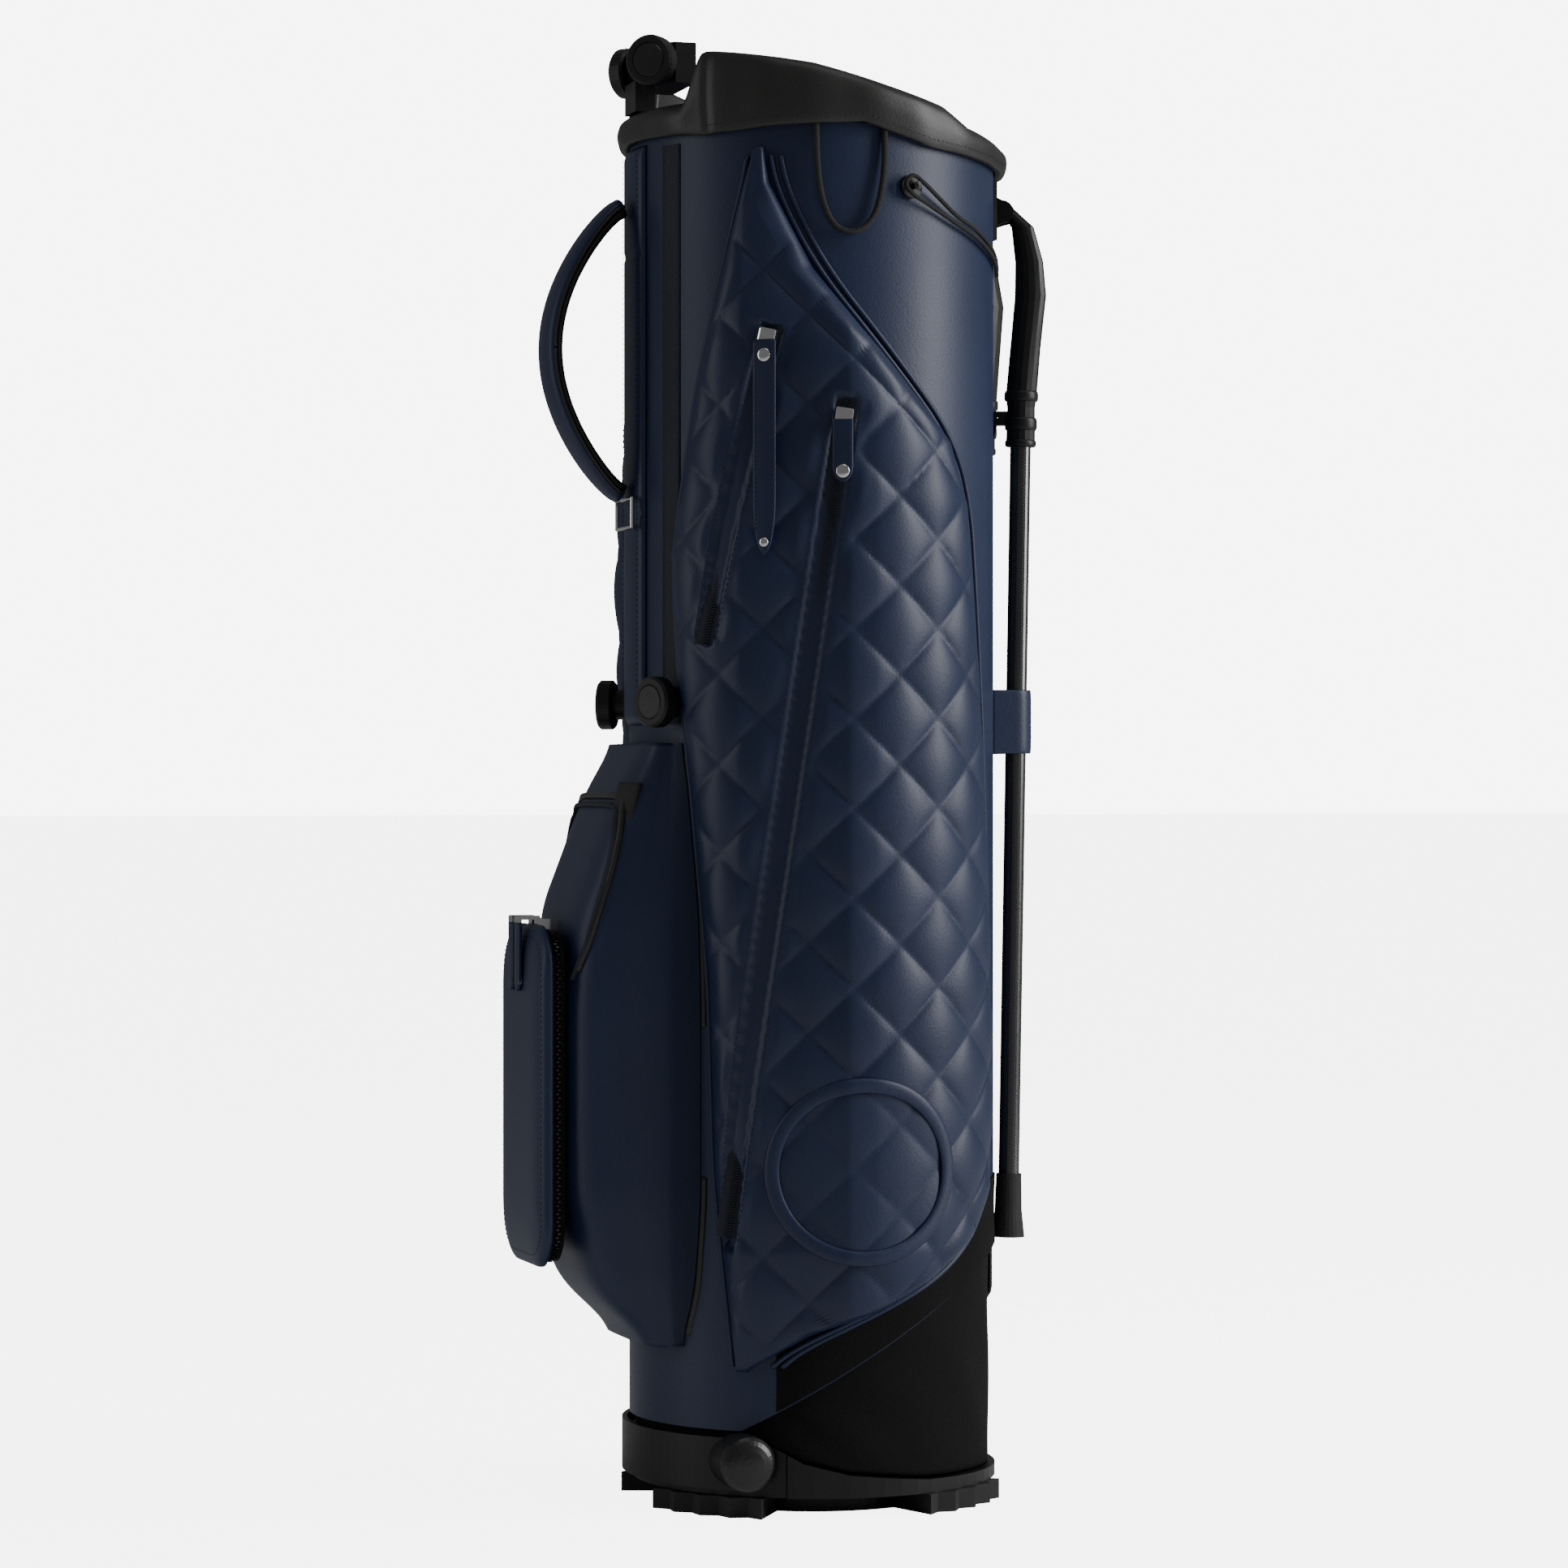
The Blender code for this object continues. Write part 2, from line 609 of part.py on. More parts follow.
def pocket_angles(height):
    rear = np.interp(height, *zip(*POCKET_REAR_EDGE))
    front = np.interp(height, *zip(*POCKET_FRONT_EDGE))
    return float(rear), float(front)


def pocket_radius(angle, height):
    """The pocket's face: a flat facet to the rear, crowned to the front, and thin at its edges and ends."""
    rear, front = pocket_angles(height)
    share = np.clip((angle - rear) / max(front - rear, 1e-6), 0, 1)
    low, high = POCKET_REAR_EDGE[0][0], POCKET_REAR_EDGE[-1][0]
    along = np.clip((height - low) / (high - low), 0, 1)
    ends = min(1.0, along / 0.10) ** 0.6 * min(1.0, (1 - along) / 0.16) ** 0.6
    edges = (1 - abs(2 * share - 1) ** 6) ** 0.7
    facet = FACET_AT / max(0.4, np.cos(np.radians(angle - FACET_TURN)))
    crown = TUBE_R + POCKET_REACH * (1 - 0.45 * max(0.0, np.sin(np.radians(angle))))
    face = min(facet, crown) - TUBE_R - 0.0035
    return TUBE_R + 0.0035 + face * ends * edges


def pocket_point(side, angle, height, lift=0.0):
    point = around(angle, pocket_radius(angle, height) + lift, height)
    point.y *= side
    return point


def make_side_pocket(label, side):
    """A full-height clothing pocket. Its inside follows the tube, and its face is crowned."""
    columns = 19
    rings = []
    low, high = POCKET_REAR_EDGE[0][0], POCKET_REAR_EDGE[-1][0] - 0.003
    heights = np.concatenate([np.linspace(low, 0.17, 7), np.linspace(0.20, 0.58, 8), np.linspace(0.61, high, 8)])
    for height in heights:
        rear, front = pocket_angles(height)
        angles = np.linspace(rear, front, columns)
        ring = [pocket_point(side, angle, height) for angle in angles]
        for angle in angles[::-1]:
            point = around(angle, TUBE_R - 0.006, height)
            point.y *= side
            ring.append(point)
        rings.append(ring)
    pocket = loft(f"side_pocket_{label}", rings, "navy")
    return cut(pocket, cylinder(f"pocket_tube_cutter_{label}", (0, 0, 0), (0, 0, 0.9), TUBE_R + 3 * GAP, None, 96))


# Ends of the zips as (angle, height): where each starts, with its slider closed, and where it stops.
ZIPS = {
    "long": ((-8.5, 0.6440), (-40.5, 0.1710)),
    "short": ((-28.0, 0.6900), (-46.0, 0.5140)),
}
PULL_LENGTHS = {"long": (0.037, 0.012), "short": (0.125, 0.014)}


def zip_frame(side, which):
    """The zip's start, end, direction, outward normal and sideways direction, on a pocket's face."""
    (first_angle, first_z), (last_angle, last_z) = ZIPS[which]
    start = pocket_point(side, first_angle, first_z)
    end = pocket_point(side, last_angle, last_z)
    along = (end - start).normalized()
    middle = (start + end) / 2
    outward = Vector((middle.x, middle.y, 0))
    outward = (outward - along * outward.dot(along)).normalized()
    return start, end, along, outward, outward.cross(along)


def zip_matrix(origin, along, outward, across):
    """Local X across the zip, Y outward, Z back along it."""
    place = Matrix.Identity(4)
    for column, axis in enumerate((across, outward, -along)):
        for row in range(3):
            place[row][column] = axis[row]
    place.translation = origin
    return place


def make_zip(pocket, label, side, which):
    """A zip let into the pocket's face: its track, its slider and its pull."""
    start, end, along, outward, across = zip_frame(side, which)
    length = (end - start).length
    groove_depth = ZIP_THICK + GAP + 0.0008
    floor = -groove_depth
    middle = start + along * length / 2
    room = 0.040
    groove_place = zip_matrix(middle + outward * (floor + room / 2), along, outward, across)
    cut(pocket, block(f"zip_groove_{which}_{label}", (ZIP_GROOVE, room, length + 0.022), groove_place, None))
    track_place = zip_matrix(middle + outward * (floor + GAP + ZIP_THICK / 2), along, outward, across)
    block(f"{which}_zip_{label}", (ZIP_WIDE, ZIP_THICK, length + 0.018), track_place, "navy")
    width, thick, tall = SLIDER_SIZE
    base = floor + GAP + ZIP_THICK + GAP
    slider_at = start + along * (tall / 2)
    slider_place = zip_matrix(slider_at + outward * (base + thick / 2), along, outward, across)
    rounded_bevel(block(f"{which}_slider_{label}", SLIDER_SIZE, slider_place, "steel"), 0.0012)
    pull_long, pull_wide = PULL_LENGTHS[which]
    hang_from = slider_at + outward * PULL_OFF
    flat_out = Vector((outward.x, outward.y, 0)).normalized()
    down = Vector((0, 0, -1))
    pull_place = zip_matrix(hang_from + down * (pull_long / 2 - PULL_ABOVE), down, flat_out, flat_out.cross(down))
    rounded_bevel(block(f"{which}_pull_{label}", (pull_wide, PULL_T, pull_long), pull_place, "navy"), 0.0006)


def make_side_pockets():
    near = make_side_pocket("near", 1)
    make_zip(near, "near", 1, "long")
    make_zip(near, "near", 1, "short")
    far = make_side_pocket("far", -1)
    make_zip(far, "far", -1, "long")


# ---------------------------------------------------------------- ball pocket

# Front of the ball pocket as (height, share of its reach in front of the tube), and its half width's share.
BALL_FRONT = ((0.000, 0.08), (0.035, 0.28), (0.095, 0.72), (0.24, 1.0), (0.57, 1.0), (0.72, 0.90), (0.905, 0.44),
              (1.0, 0.08))


def rounded_ring(x_back, x_front, half_y, corner, height):
    """A level outline: square at the back, with round front corners."""
    points = [Vector((x_back, half_y, height))]
    for centre_y, first in ((half_y - corner, 90), (corner - half_y, 180)):
        for turn in np.radians(np.linspace(first, first + 90, 6)):
            across, aside = corner * np.cos(turn), corner * np.sin(turn)
            points.append(Vector((x_front + corner + across, centre_y + aside, height)))
    points.append(Vector((x_back, -half_y, height)))
    return points


def make_ball_pocket():
    """The big lower pocket on the spine side, shaped to the tube behind it."""
    rings = []
    for share, reach in BALL_FRONT:
        height = BALL_LOW + (BALL_TOP - BALL_LOW) * share
        front = -(TUBE_R + (BALL_REACH - TUBE_R) * reach)
        width = BALL_HALF_Y * (0.80 + 0.20 * min(1.0, reach))
        rings.append(rounded_ring(-0.080, front, width, 0.020, height))
    pocket = loft("ball_pocket", rings, "navy")
    cut(pocket, cylinder("ball_tube_cutter", (0, 0, 0), (0, 0, 0.9), TUBE_R + 2 * GAP, None, 96))
    spine_r = TUBE_R + SPINE_T + 3 * GAP
    cut(pocket, cylinder("ball_spine_cutter", (0, 0, SPINE_LOW - GAP), (0, 0, 0.9), spine_r, None, 96))


def upright_plate(name, x_front, x_back, half_y, low, high, corner, finish):
    """A plate that stands upright across X, with four round corners."""
    rings = []
    for x in (x_front, x_back):
        ring = []
        for y_sign, z_end, first in ((1, high, 0), (-1, high, 90), (-1, low, 180), (1, low, 270)):
            z_sign = 1 if z_end == high else -1
            for turn in np.radians(np.linspace(first, first + 90, 5)):
                y = y_sign * (half_y - corner) + corner * np.cos(turn)
                z = z_end - z_sign * corner + corner * np.sin(turn)
                ring.append(Vector((x, y, z)))
        rings.append(ring)
    return loft(name, rings, finish)


def make_pouch():
    """The front pouch: a zip band behind, a moulded panel in front, and two sliders on its top run."""
    zip_back = -(BALL_REACH + GAP)
    zip_front = zip_back - POUCH_ZIP_T
    panel_back = zip_front - GAP
    panel_front = panel_back - POUCH_T
    inset = 0.003
    zip_low, zip_high, zip_half = POUCH_LOW + inset, POUCH_TOP - inset, POUCH_HALF_Y - inset
    upright_plate("pouch_zip", zip_front, zip_back, zip_half, zip_low, zip_high, 0.022, "black_fabric")
    panel = upright_plate(
        "ball_pouch", panel_front, panel_back, POUCH_HALF_Y, POUCH_LOW, POUCH_TOP, 0.025, "navy"
    )
    rounded_bevel(panel, 0.006, 3)
    slider_z = POUCH_TOP - inset + GAP
    zip_mid = (zip_front + zip_back) / 2
    for label, side in (("near", -1), ("far", 1)):
        centre_y = side * 0.0075
        body = block(
            f"pouch_slider_{label}", (0.0075, 0.009, 0.006),
            Matrix.Translation((zip_mid, centre_y, slider_z + 0.003)), "steel",
        )
        bridge_back, bridge_front = zip_mid - 0.002, panel_front - 0.0030
        bridge_place = Matrix.Translation(((bridge_back + bridge_front) / 2, centre_y, POUCH_TOP + 0.004))
        join(body, block(f"pouch_bridge_{label}", (bridge_back - bridge_front, 0.006, 0.0024), bridge_place, None))
        strip_place = Matrix.Translation((panel_front - 0.0019, centre_y, POUCH_TOP + 0.0048 - 0.020))
        join(body, block(f"pouch_strip_{label}", (0.0022, 0.0095, 0.040), strip_place, None))


# ---------------------------------------------------------------- legs

def swing_axis(side):
    """The leg's hinge axis. It is turned so that the leg's foot also moves sideways as it swings out."""
    turn = np.radians(LEG_SWING_TURN)
    return Vector((side * np.sin(turn), -np.cos(turn), 0))


def swing_outward(side):
    turn = np.radians(LEG_SWING_TURN)
    return Vector((np.cos(turn), side * np.sin(turn), 0))


def mirrored(point, side):
    return Vector((point[0], side * point[1], point[2]))


def slab(name, outline, origin, right, up, normal, thick):
    """A flat plate from an outline of (right, up) points, as thick as stated, centred on the origin."""
    rings = []
    for off in (-thick / 2, thick / 2):
        rings.append([origin + right * a + up * b + normal * off for a, b in outline])
    return loft(name, rings, None, smooth=False)


def make_bracket():
    """The bracket on the leg side: a flat plate, and for each leg two ears joined by a pin."""
    seat_x = TUBE_FLAT_X + GAP
    place = Matrix.Translation((seat_x + BRACKET_T / 2, 0, HINGE[2]))
    bracket = block("leg_bracket", (BRACKET_T, 0.088, 0.036), place, "black_plastic")
    up = Vector((0, 0, 1))
    for label, side in (("near", -1), ("far", 1)):
        axis, outward, pivot = swing_axis(side), swing_outward(side), mirrored(HINGE, side)
        for n, off in enumerate((-1, 1)):
            middle = pivot + axis * off * (EAR_GAP + EAR_T) / 2
            root = (middle.x - seat_x - BRACKET_T / 2) / outward.x
            nose = [(EAR_R * np.cos(t), EAR_R * np.sin(t)) for t in np.linspace(np.pi / 2, -np.pi / 2, 9)]
            outline = nose + [(-root, -EAR_R - 0.004), (-root, EAR_R + 0.004)]
            join(bracket, slab(f"ear_{label}_{n}", outline, middle, outward, up, axis, EAR_T))
        span = (EAR_GAP / 2 + EAR_T / 2) * axis
        join(bracket, cylinder(f"hinge_pin_{label}", pivot - span, pivot + span, HINGE_PIN_R, None, 24))


def make_legs():
    """Each leg: a moulded head on its pin with a sleeve for the rod, a carbon tube and a rubber foot."""
    for label, side in (("near", -1), ("far", 1)):
        axis, outward, pivot = swing_axis(side), swing_outward(side), mirrored(HINGE, side)
        top, end = mirrored(LEG_TOP, side), mirrored(LEG_END, side)
        run = (end - top).normalized()

        eye_half = (EAR_GAP / 2 - GAP) * axis
        head = cylinder(f"leg_head_{label}", pivot - eye_half, pivot + eye_half, HINGE_EYE_R, "black_plastic", 24)
        stations = (
            (pivot + outward * 0.0020 + Vector((0, 0, 0.002)), 0.0050, 0.0042),
            (pivot + outward * 0.0120 + Vector((0, 0, -0.009)), 0.0068, 0.0044),
            (pivot + outward * 0.0160 + Vector((0, 0, -0.030)), 0.0085, 0.0060),
            (mirrored((0.1270, 0.0370, 0.722), side), 0.0095, 0.0078),
            (mirrored((0.1240, 0.0360, 0.690), side), 0.0092, 0.0084),
            (top + run * 0.006, 0.0094, 0.0090),
            (top + run * 0.014, 0.0084, 0.0084),
            (top + run * ((top.z - SLEEVE_LOW_Z) / -run.z), 0.0088, 0.0088),
        )
        rings = []
        for centre, half_out, half_side in stations:
            turns = [2 * np.pi * k / 16 for k in range(16)]
            rings.append([
                centre + outward * half_out * np.cos(t) + axis * half_side * np.sin(t) for t in turns
            ])
        join(head, loft(f"leg_arm_{label}", rings, None))
        rod_top = mirrored(ROD_TOP, side)
        rod_axis = Vector((side * -ROD_AXIS[0], ROD_AXIS[1], side * -ROD_AXIS[2])).normalized()
        tube_at = top + run * ((top.z - rod_top.z) / -run.z)
        lug_out = (tube_at - rod_top).normalized()
        lug_up = lug_out.cross(rod_axis).normalized()
        lug_right = rod_axis.cross(lug_up).normalized()
        nose = [(-0.0042 * np.sin(t), 0.0042 * np.cos(t)) for t in np.linspace(0, np.pi, 9)]
        outline = nose + [(0.010, -0.0042), (0.010, 0.0042)]
        join(head, slab(f"lug_{label}", outline, rod_top, lug_right, lug_up, rod_axis, 0.0050))
        bore = HINGE_PIN_R + PIN_GAP
        cut(head, cylinder(f"head_pin_cutter_{label}", pivot - axis * 0.02, pivot + axis * 0.02, bore, None, 24))
        cut(head, cylinder(f"head_tube_cutter_{label}", top, top + run * 0.1, LEG_TUBE_R + GAP, None, 24))
        rod_bore = ROD_R + PIN_GAP
        cut(head, cylinder(
            f"rod_bore_cutter_{label}", rod_top - rod_axis * 0.004, rod_top + rod_axis * 0.004, rod_bore, None, 24
        ))

        cylinder(f"leg_tube_{label}", top + run * GAP, end, LEG_TUBE_R, "carbon", 24)

        low, high = LEG_FOOT_H * 0.42, LEG_FOOT_H * 0.58
        fit = LEG_TUBE_R + GAP
        boot = [(0, -low), (fit + 0.0035, -low), (fit + 0.0017, 0), (fit + 0.0011, high)]
        boot += [(fit, high), (fit, -GAP), (0, -GAP)]
        turned(f"leg_foot_{label}", boot, end, -run, "rubber", 24)
        make_push_rod(label, side, rod_top, rod_axis)


def make_push_rod(label, side, rod_top, rod_axis):
    """A bent wire from the leg's sleeve, down the flat and under the tube to the foot's seat."""
    inward = -1 if (rod_axis.y * side) > 0 else 1
    pin = rod_axis * inward
    corners = [
        rod_top - pin * 0.0022, rod_top + pin * 0.0062, mirrored((0.1060, 0.0205, 0.630), side),
        mirrored((ROD_BEND[0], 0.0225, 0.5600), side), mirrored(ROD_BEND, side), mirrored(ROD_END, side),
    ]
    curve_object(f"push_rod_{label}", softened(corners, 0.0035), ROD_R, "steel")


def softened(corners, room):
    """The same route with each corner rounded off by three points."""
    points = [corners[0]]
    for before, here, after in zip(corners, corners[1:], corners[2:]):
        first = here + (before - here).normalized() * room
        last = here + (after - here).normalized() * room
        points += [first, (first + last) / 4 + here / 2, last]
    points.append(corners[-1])
    return points


def make_keeper():
    """The leather strap that holds both folded legs to the tube."""
    reach = LEG_END[0] + 0.0155
    half = 0.0440
    path = []
    seat = TUBE_FLAT_X + GAP
    corner = 0.010
    path.append(Vector((seat, -half, 0)))
    for turn in np.radians(np.linspace(-90, 0, 5)):
        path.append(Vector((reach - corner + corner * np.cos(turn), -half + corner + corner * np.sin(turn), 0)))
    for turn in np.radians(np.linspace(0, 90, 5)):
        path.append(Vector((reach - corner + corner * np.cos(turn), half - corner + corner * np.sin(turn), 0)))
    path.append(Vector((seat, half, 0)))
    rings = []
    for n, point in enumerate(path):
        before, after = path[max(n - 1, 0)], path[min(n + 1, len(path) - 1)]
        run = (after - before).normalized()
        outward = Vector((run.y, -run.x, 0))
        low, high = point + Vector((0, 0, KEEPER_Z - KEEPER_H / 2)), point + Vector((0, 0, KEEPER_Z + KEEPER_H / 2))
        rings.append([low, low + outward * KEEPER_T, high + outward * KEEPER_T, high])
    loft("leg_keeper", rings, "navy")


# ---------------------------------------------------------------- cords

def smooth_route(points, count):
    """Catmull-Rom curve through hand-chosen points, read at even steps."""
    points = np.array(points, float)
    padded = np.vstack([2 * points[0] - points[1], points, 2 * points[-1] - points[-2]])
    found = []
    for t in np.linspace(0, len(points) - 1 - 1e-9, count):
        n, f = int(t), t - int(t)
        a, b, c, d = padded[n : n + 4]
        square, cube = 2 * a - 5 * b + 4 * c - d, 3 * b - a - 3 * c + d
        found.append(0.5 * (2 * b + (c - a) * f + square * f**2 + cube * f**3))
    return [Vector(point) for point in found]


def curve_object(name, points, radius, finish, cyclic=False):
    """A round wire or cord along these points, with its ends capped."""
    data = bpy.data.curves.new(name, "CURVE")
    data.dimensions = "3D"
    data.bevel_depth = radius
    data.bevel_resolution = 2
    data.use_fill_caps = True
    line = data.splines.new("POLY")
    line.points.add(len(points) - 1)
    for slot, point in zip(line.points, points):
        slot.co = (*point, 1.0)
    line.use_cyclic_u = cyclic
    return add_object(name, data, finish)


# Routes as (angle, distance from the tube's axis, height), from one end to the other.
TOWEL_ROUTE = (
    (-16.0, 0.1124, 0.8100), (-15.8, 0.1130, 0.792), (-15.0, 0.1140, 0.774), (-13.2, 0.1142, 0.760),
    (-10.2, 0.1142, 0.7505), (-6.0, 0.1142, 0.7475), (-1.8, 0.1142, 0.7505), (1.6, 0.1142, 0.759),
    (3.6, 0.1141, 0.773), (4.6, 0.1134, 0.789), (4.8, 0.1124, 0.8070),
)
ELASTIC_ROUTE = (
    (70.0, 0.1117, 0.7330), (60.0, 0.1124, 0.7390), (50.0, 0.1132, 0.7450), (40.0, 0.1136, 0.7510),
    (30.0, 0.1140, 0.7570), (18.0, 0.1150, 0.7665), (13.4, 0.1160, 0.7705), (11.0, 0.1160, 0.7765),
    (13.4, 0.1160, 0.7815), (18.0, 0.1158, 0.7765), (30.0, 0.1140, 0.7620), (40.0, 0.1136, 0.7555),
    (50.0, 0.1132, 0.7490), (60.0, 0.1124, 0.7425), (70.0, 0.1117, 0.7365),
)


def make_cords():
    """A towel loop that hangs from the cuff, and an elastic loop hooked over a small plastic anchor."""
    towel = smooth_route([around(*point) for point in TOWEL_ROUTE], TOWEL_POINTS)
    curve_object("towel_loop", towel, TOWEL_CORD_R, "black_fabric")
    elastic = smooth_route([around(*point) for point in ELASTIC_ROUTE], ELASTIC_POINTS)
    curve_object("elastic_loop", elastic, ELASTIC_R, "black_fabric")
    angle, height = 14.2, 0.7756
    base = around(angle, TUBE_R + 2 * GAP, height)
    outward = around(angle, 1.0)
    plate = 0.0018
    profile = [(0, 0), (0.0070, 0), (0.0070, plate - 0.0004), (0.0022, plate), (0.0017, plate + 0.0004),
               (0.0017, 0.0072), (0.0026, 0.0080), (0, 0.0088)]
    turned("cord_anchor", profile, base, outward, "black_plastic", 24)


# ---------------------------------------------------------------- joints

def hang_on(name, place, pieces, carrier=None):
    """An empty on a joint's axis, with the pieces that turn or slide there as its children, left where they are."""
    axis_empty = bpy.data.objects.new(name, None)
    bpy.context.scene.collection.objects.link(axis_empty)
    axis_empty.location = place
    carried = [(bpy.data.objects[piece], axis_empty) for piece in pieces]
    if carrier:
        carried.append((axis_empty, carrier))
    for child, parent in carried:
        child.parent = parent
        child.matrix_parent_inverse = Matrix.Translation(-parent.location)
    return axis_empty


def hang_moving_pieces():
    """Everything but the foot tilts on the pivot, and the legs, rods, sliders, pulls and buttons move on that."""
    own_joint = ("leg_head", "leg_tube", "leg_foot", "push_rod", "long_slider", "short_slider", "long_pull",
                 "short_pull", "pouch_slider", "button")
    still = own_joint + ("foot_shell", "cleat")
    shown = [piece.name for piece in bpy.data.objects if not piece.hide_render]
    tilting = [name for name in shown if not name.startswith(still)]
    pivot = hang_on("base_tilt_axis", (PIVOT_X, 0, PIVOT_Z), tilting)
    for label, side in (("near", -1), ("far", 1)):
        swinging = [f"leg_head_{label}", f"leg_tube_{label}", f"leg_foot_{label}"]
        leg = hang_on(f"leg_swing_axis_{label}", mirrored(HINGE, side), swinging, pivot)
        hang_on(f"rod_turn_axis_{label}", mirrored(ROD_TOP, side), [f"push_rod_{label}"], leg)
        hang_on(f"pouch_run_{label}", (-BALL_REACH, side * 0.0075, POUCH_TOP), [f"pouch_slider_{label}"], pivot)
    for label, side, which in (("near", 1, "long"), ("near", 1, "short"), ("far", -1, "long")):
        start, end, along, outward, across = zip_frame(side, which)
        slider_at = start + along * (SLIDER_SIZE[2] / 2)
        slider = hang_on(f"{which}_run_{label}", slider_at, [f"{which}_slider_{label}"], pivot)
        hang_on(f"{which}_lift_{label}", slider_at + outward * PULL_OFF, [f"{which}_pull_{label}"], slider)
    for label, angle in (("near", -LOW_BUCKLE_ANGLE), ("far", LOW_BUCKLE_ANGLE - 180)):
        hang_on(f"low_push_{label}", around(angle, TUBE_R, LOW_BUCKLE_Z), [f"button_low_{label}"], pivot)
    for label, side in (("near", -1), ("far", 1)):
        hang_on(f"top_push_{label}", (HUB_X, side * HUB_HALF_Y, HUB_Z), [f"button_top_{label}"], pivot)


def main():
    clear_scene()
    make_foot()
    make_cleats()
    make_tube()
    make_gusset()
    make_yoke()
    make_cuff()
    make_dividers()
    make_stays()
    make_spine()
    make_handle()
    make_buckles()
    make_side_pockets()
    make_ball_pocket()
    make_pouch()
    make_bracket()
    make_legs()
    make_keeper()
    make_cords()
    hang_moving_pieces()


main()
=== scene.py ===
"""A golf stand bag in navy leather with a quilted side pocket, on its moulded foot.

The sections follow the bag as it is put together. Metres, +Z up. +X points to the legs, -X to the spine
and the handle, and -Y is the near side. Angles round the tube run from -Y towards +X, in degrees.
"""

import bmesh
import bpy
import numpy as np
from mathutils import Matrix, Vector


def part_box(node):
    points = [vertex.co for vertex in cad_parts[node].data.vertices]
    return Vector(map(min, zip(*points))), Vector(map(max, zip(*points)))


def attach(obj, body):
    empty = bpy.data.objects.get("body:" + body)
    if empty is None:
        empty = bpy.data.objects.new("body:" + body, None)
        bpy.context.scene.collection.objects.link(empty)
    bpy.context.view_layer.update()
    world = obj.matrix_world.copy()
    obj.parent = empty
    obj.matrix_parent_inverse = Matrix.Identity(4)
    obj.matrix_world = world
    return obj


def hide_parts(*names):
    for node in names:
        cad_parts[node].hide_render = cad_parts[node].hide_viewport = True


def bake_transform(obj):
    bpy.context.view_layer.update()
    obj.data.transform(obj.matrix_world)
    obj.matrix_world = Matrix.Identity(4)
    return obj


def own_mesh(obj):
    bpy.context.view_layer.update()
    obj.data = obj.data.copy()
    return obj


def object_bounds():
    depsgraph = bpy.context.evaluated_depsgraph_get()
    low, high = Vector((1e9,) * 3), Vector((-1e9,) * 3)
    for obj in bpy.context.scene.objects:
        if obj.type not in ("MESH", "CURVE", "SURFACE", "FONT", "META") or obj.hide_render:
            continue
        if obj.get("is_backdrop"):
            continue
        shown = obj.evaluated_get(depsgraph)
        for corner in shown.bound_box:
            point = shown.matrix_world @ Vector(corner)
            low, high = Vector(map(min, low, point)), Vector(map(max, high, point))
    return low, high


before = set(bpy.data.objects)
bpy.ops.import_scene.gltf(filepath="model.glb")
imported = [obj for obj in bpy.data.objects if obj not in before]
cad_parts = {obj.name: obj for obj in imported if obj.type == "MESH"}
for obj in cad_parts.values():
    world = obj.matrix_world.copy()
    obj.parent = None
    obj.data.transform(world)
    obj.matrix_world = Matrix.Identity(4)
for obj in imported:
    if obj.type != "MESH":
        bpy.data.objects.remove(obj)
cad_box = [list(corner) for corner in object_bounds()]

# ------------ camera, floor and light
# The camera stands level with the middle of the bag, turned 17 degrees towards the spine. A large softbox
# stands to the right and front, a weaker one lights the spine side, and floor and backdrop are pale.

DISTANCE = 2.84
CAMERA_TURN = np.radians(17.0)
CAMERA_HEIGHT = 0.427
LOOK_ASIDE = -0.0167  # how far the view's middle lies from the tube's axis
FOCAL_LENGTH, SENSOR_WIDTH = 108.0, 36.0
AMBIENT = 0.17  # the light that the surroundings add on the bag
BACKDROP, FLOOR_GLOW = 7.0, 5.5  # how bright the camera sees them
FLOOR_HALF = 60.0


def linked(name, data):
    """A new object of this data in the scene, at the origin."""
    made = bpy.data.objects.new(name, data)
    bpy.context.scene.collection.objects.link(made)
    return made


ahead = np.array([np.sin(CAMERA_TURN), np.cos(CAMERA_TURN), 0.0])
aside = np.array([np.cos(CAMERA_TURN), -np.sin(CAMERA_TURN), 0.0])
camera_data = bpy.data.cameras.new("camera")
camera_data.sensor_width = SENSOR_WIDTH
camera_data.lens = FOCAL_LENGTH
camera = linked("camera", camera_data)
camera.location = aside * LOOK_ASIDE - ahead * DISTANCE + np.array([0, 0, CAMERA_HEIGHT])
camera.rotation_euler = (np.pi / 2, 0, -CAMERA_TURN)
bpy.context.scene.camera = camera


def softbox(name, place, aim, width, height, watts):
    """A rectangular area light that faces the point it is aimed at."""
    data = bpy.data.lights.new(name, "AREA")
    data.shape = "RECTANGLE"
    data.size, data.size_y = width, height
    data.energy = watts
    lamp = linked(name, data)
    lamp.location = place
    lamp.rotation_euler = Vector(np.array(aim) - np.array(place)).to_track_quat("-Z", "Y").to_euler()


softbox("key_softbox", (2.1, -1.1, 1.3), (0, 0, 0.45), 0.7, 1.8, 60)
softbox("rim_softbox", (-2.0, 0.2, 0.8), (0, 0, 0.45), 0.4, 1.6, 6)
softbox("top_softbox", (0.2, -0.8, 2.6), (0, 0, 0.5), 1.4, 1.0, 6)


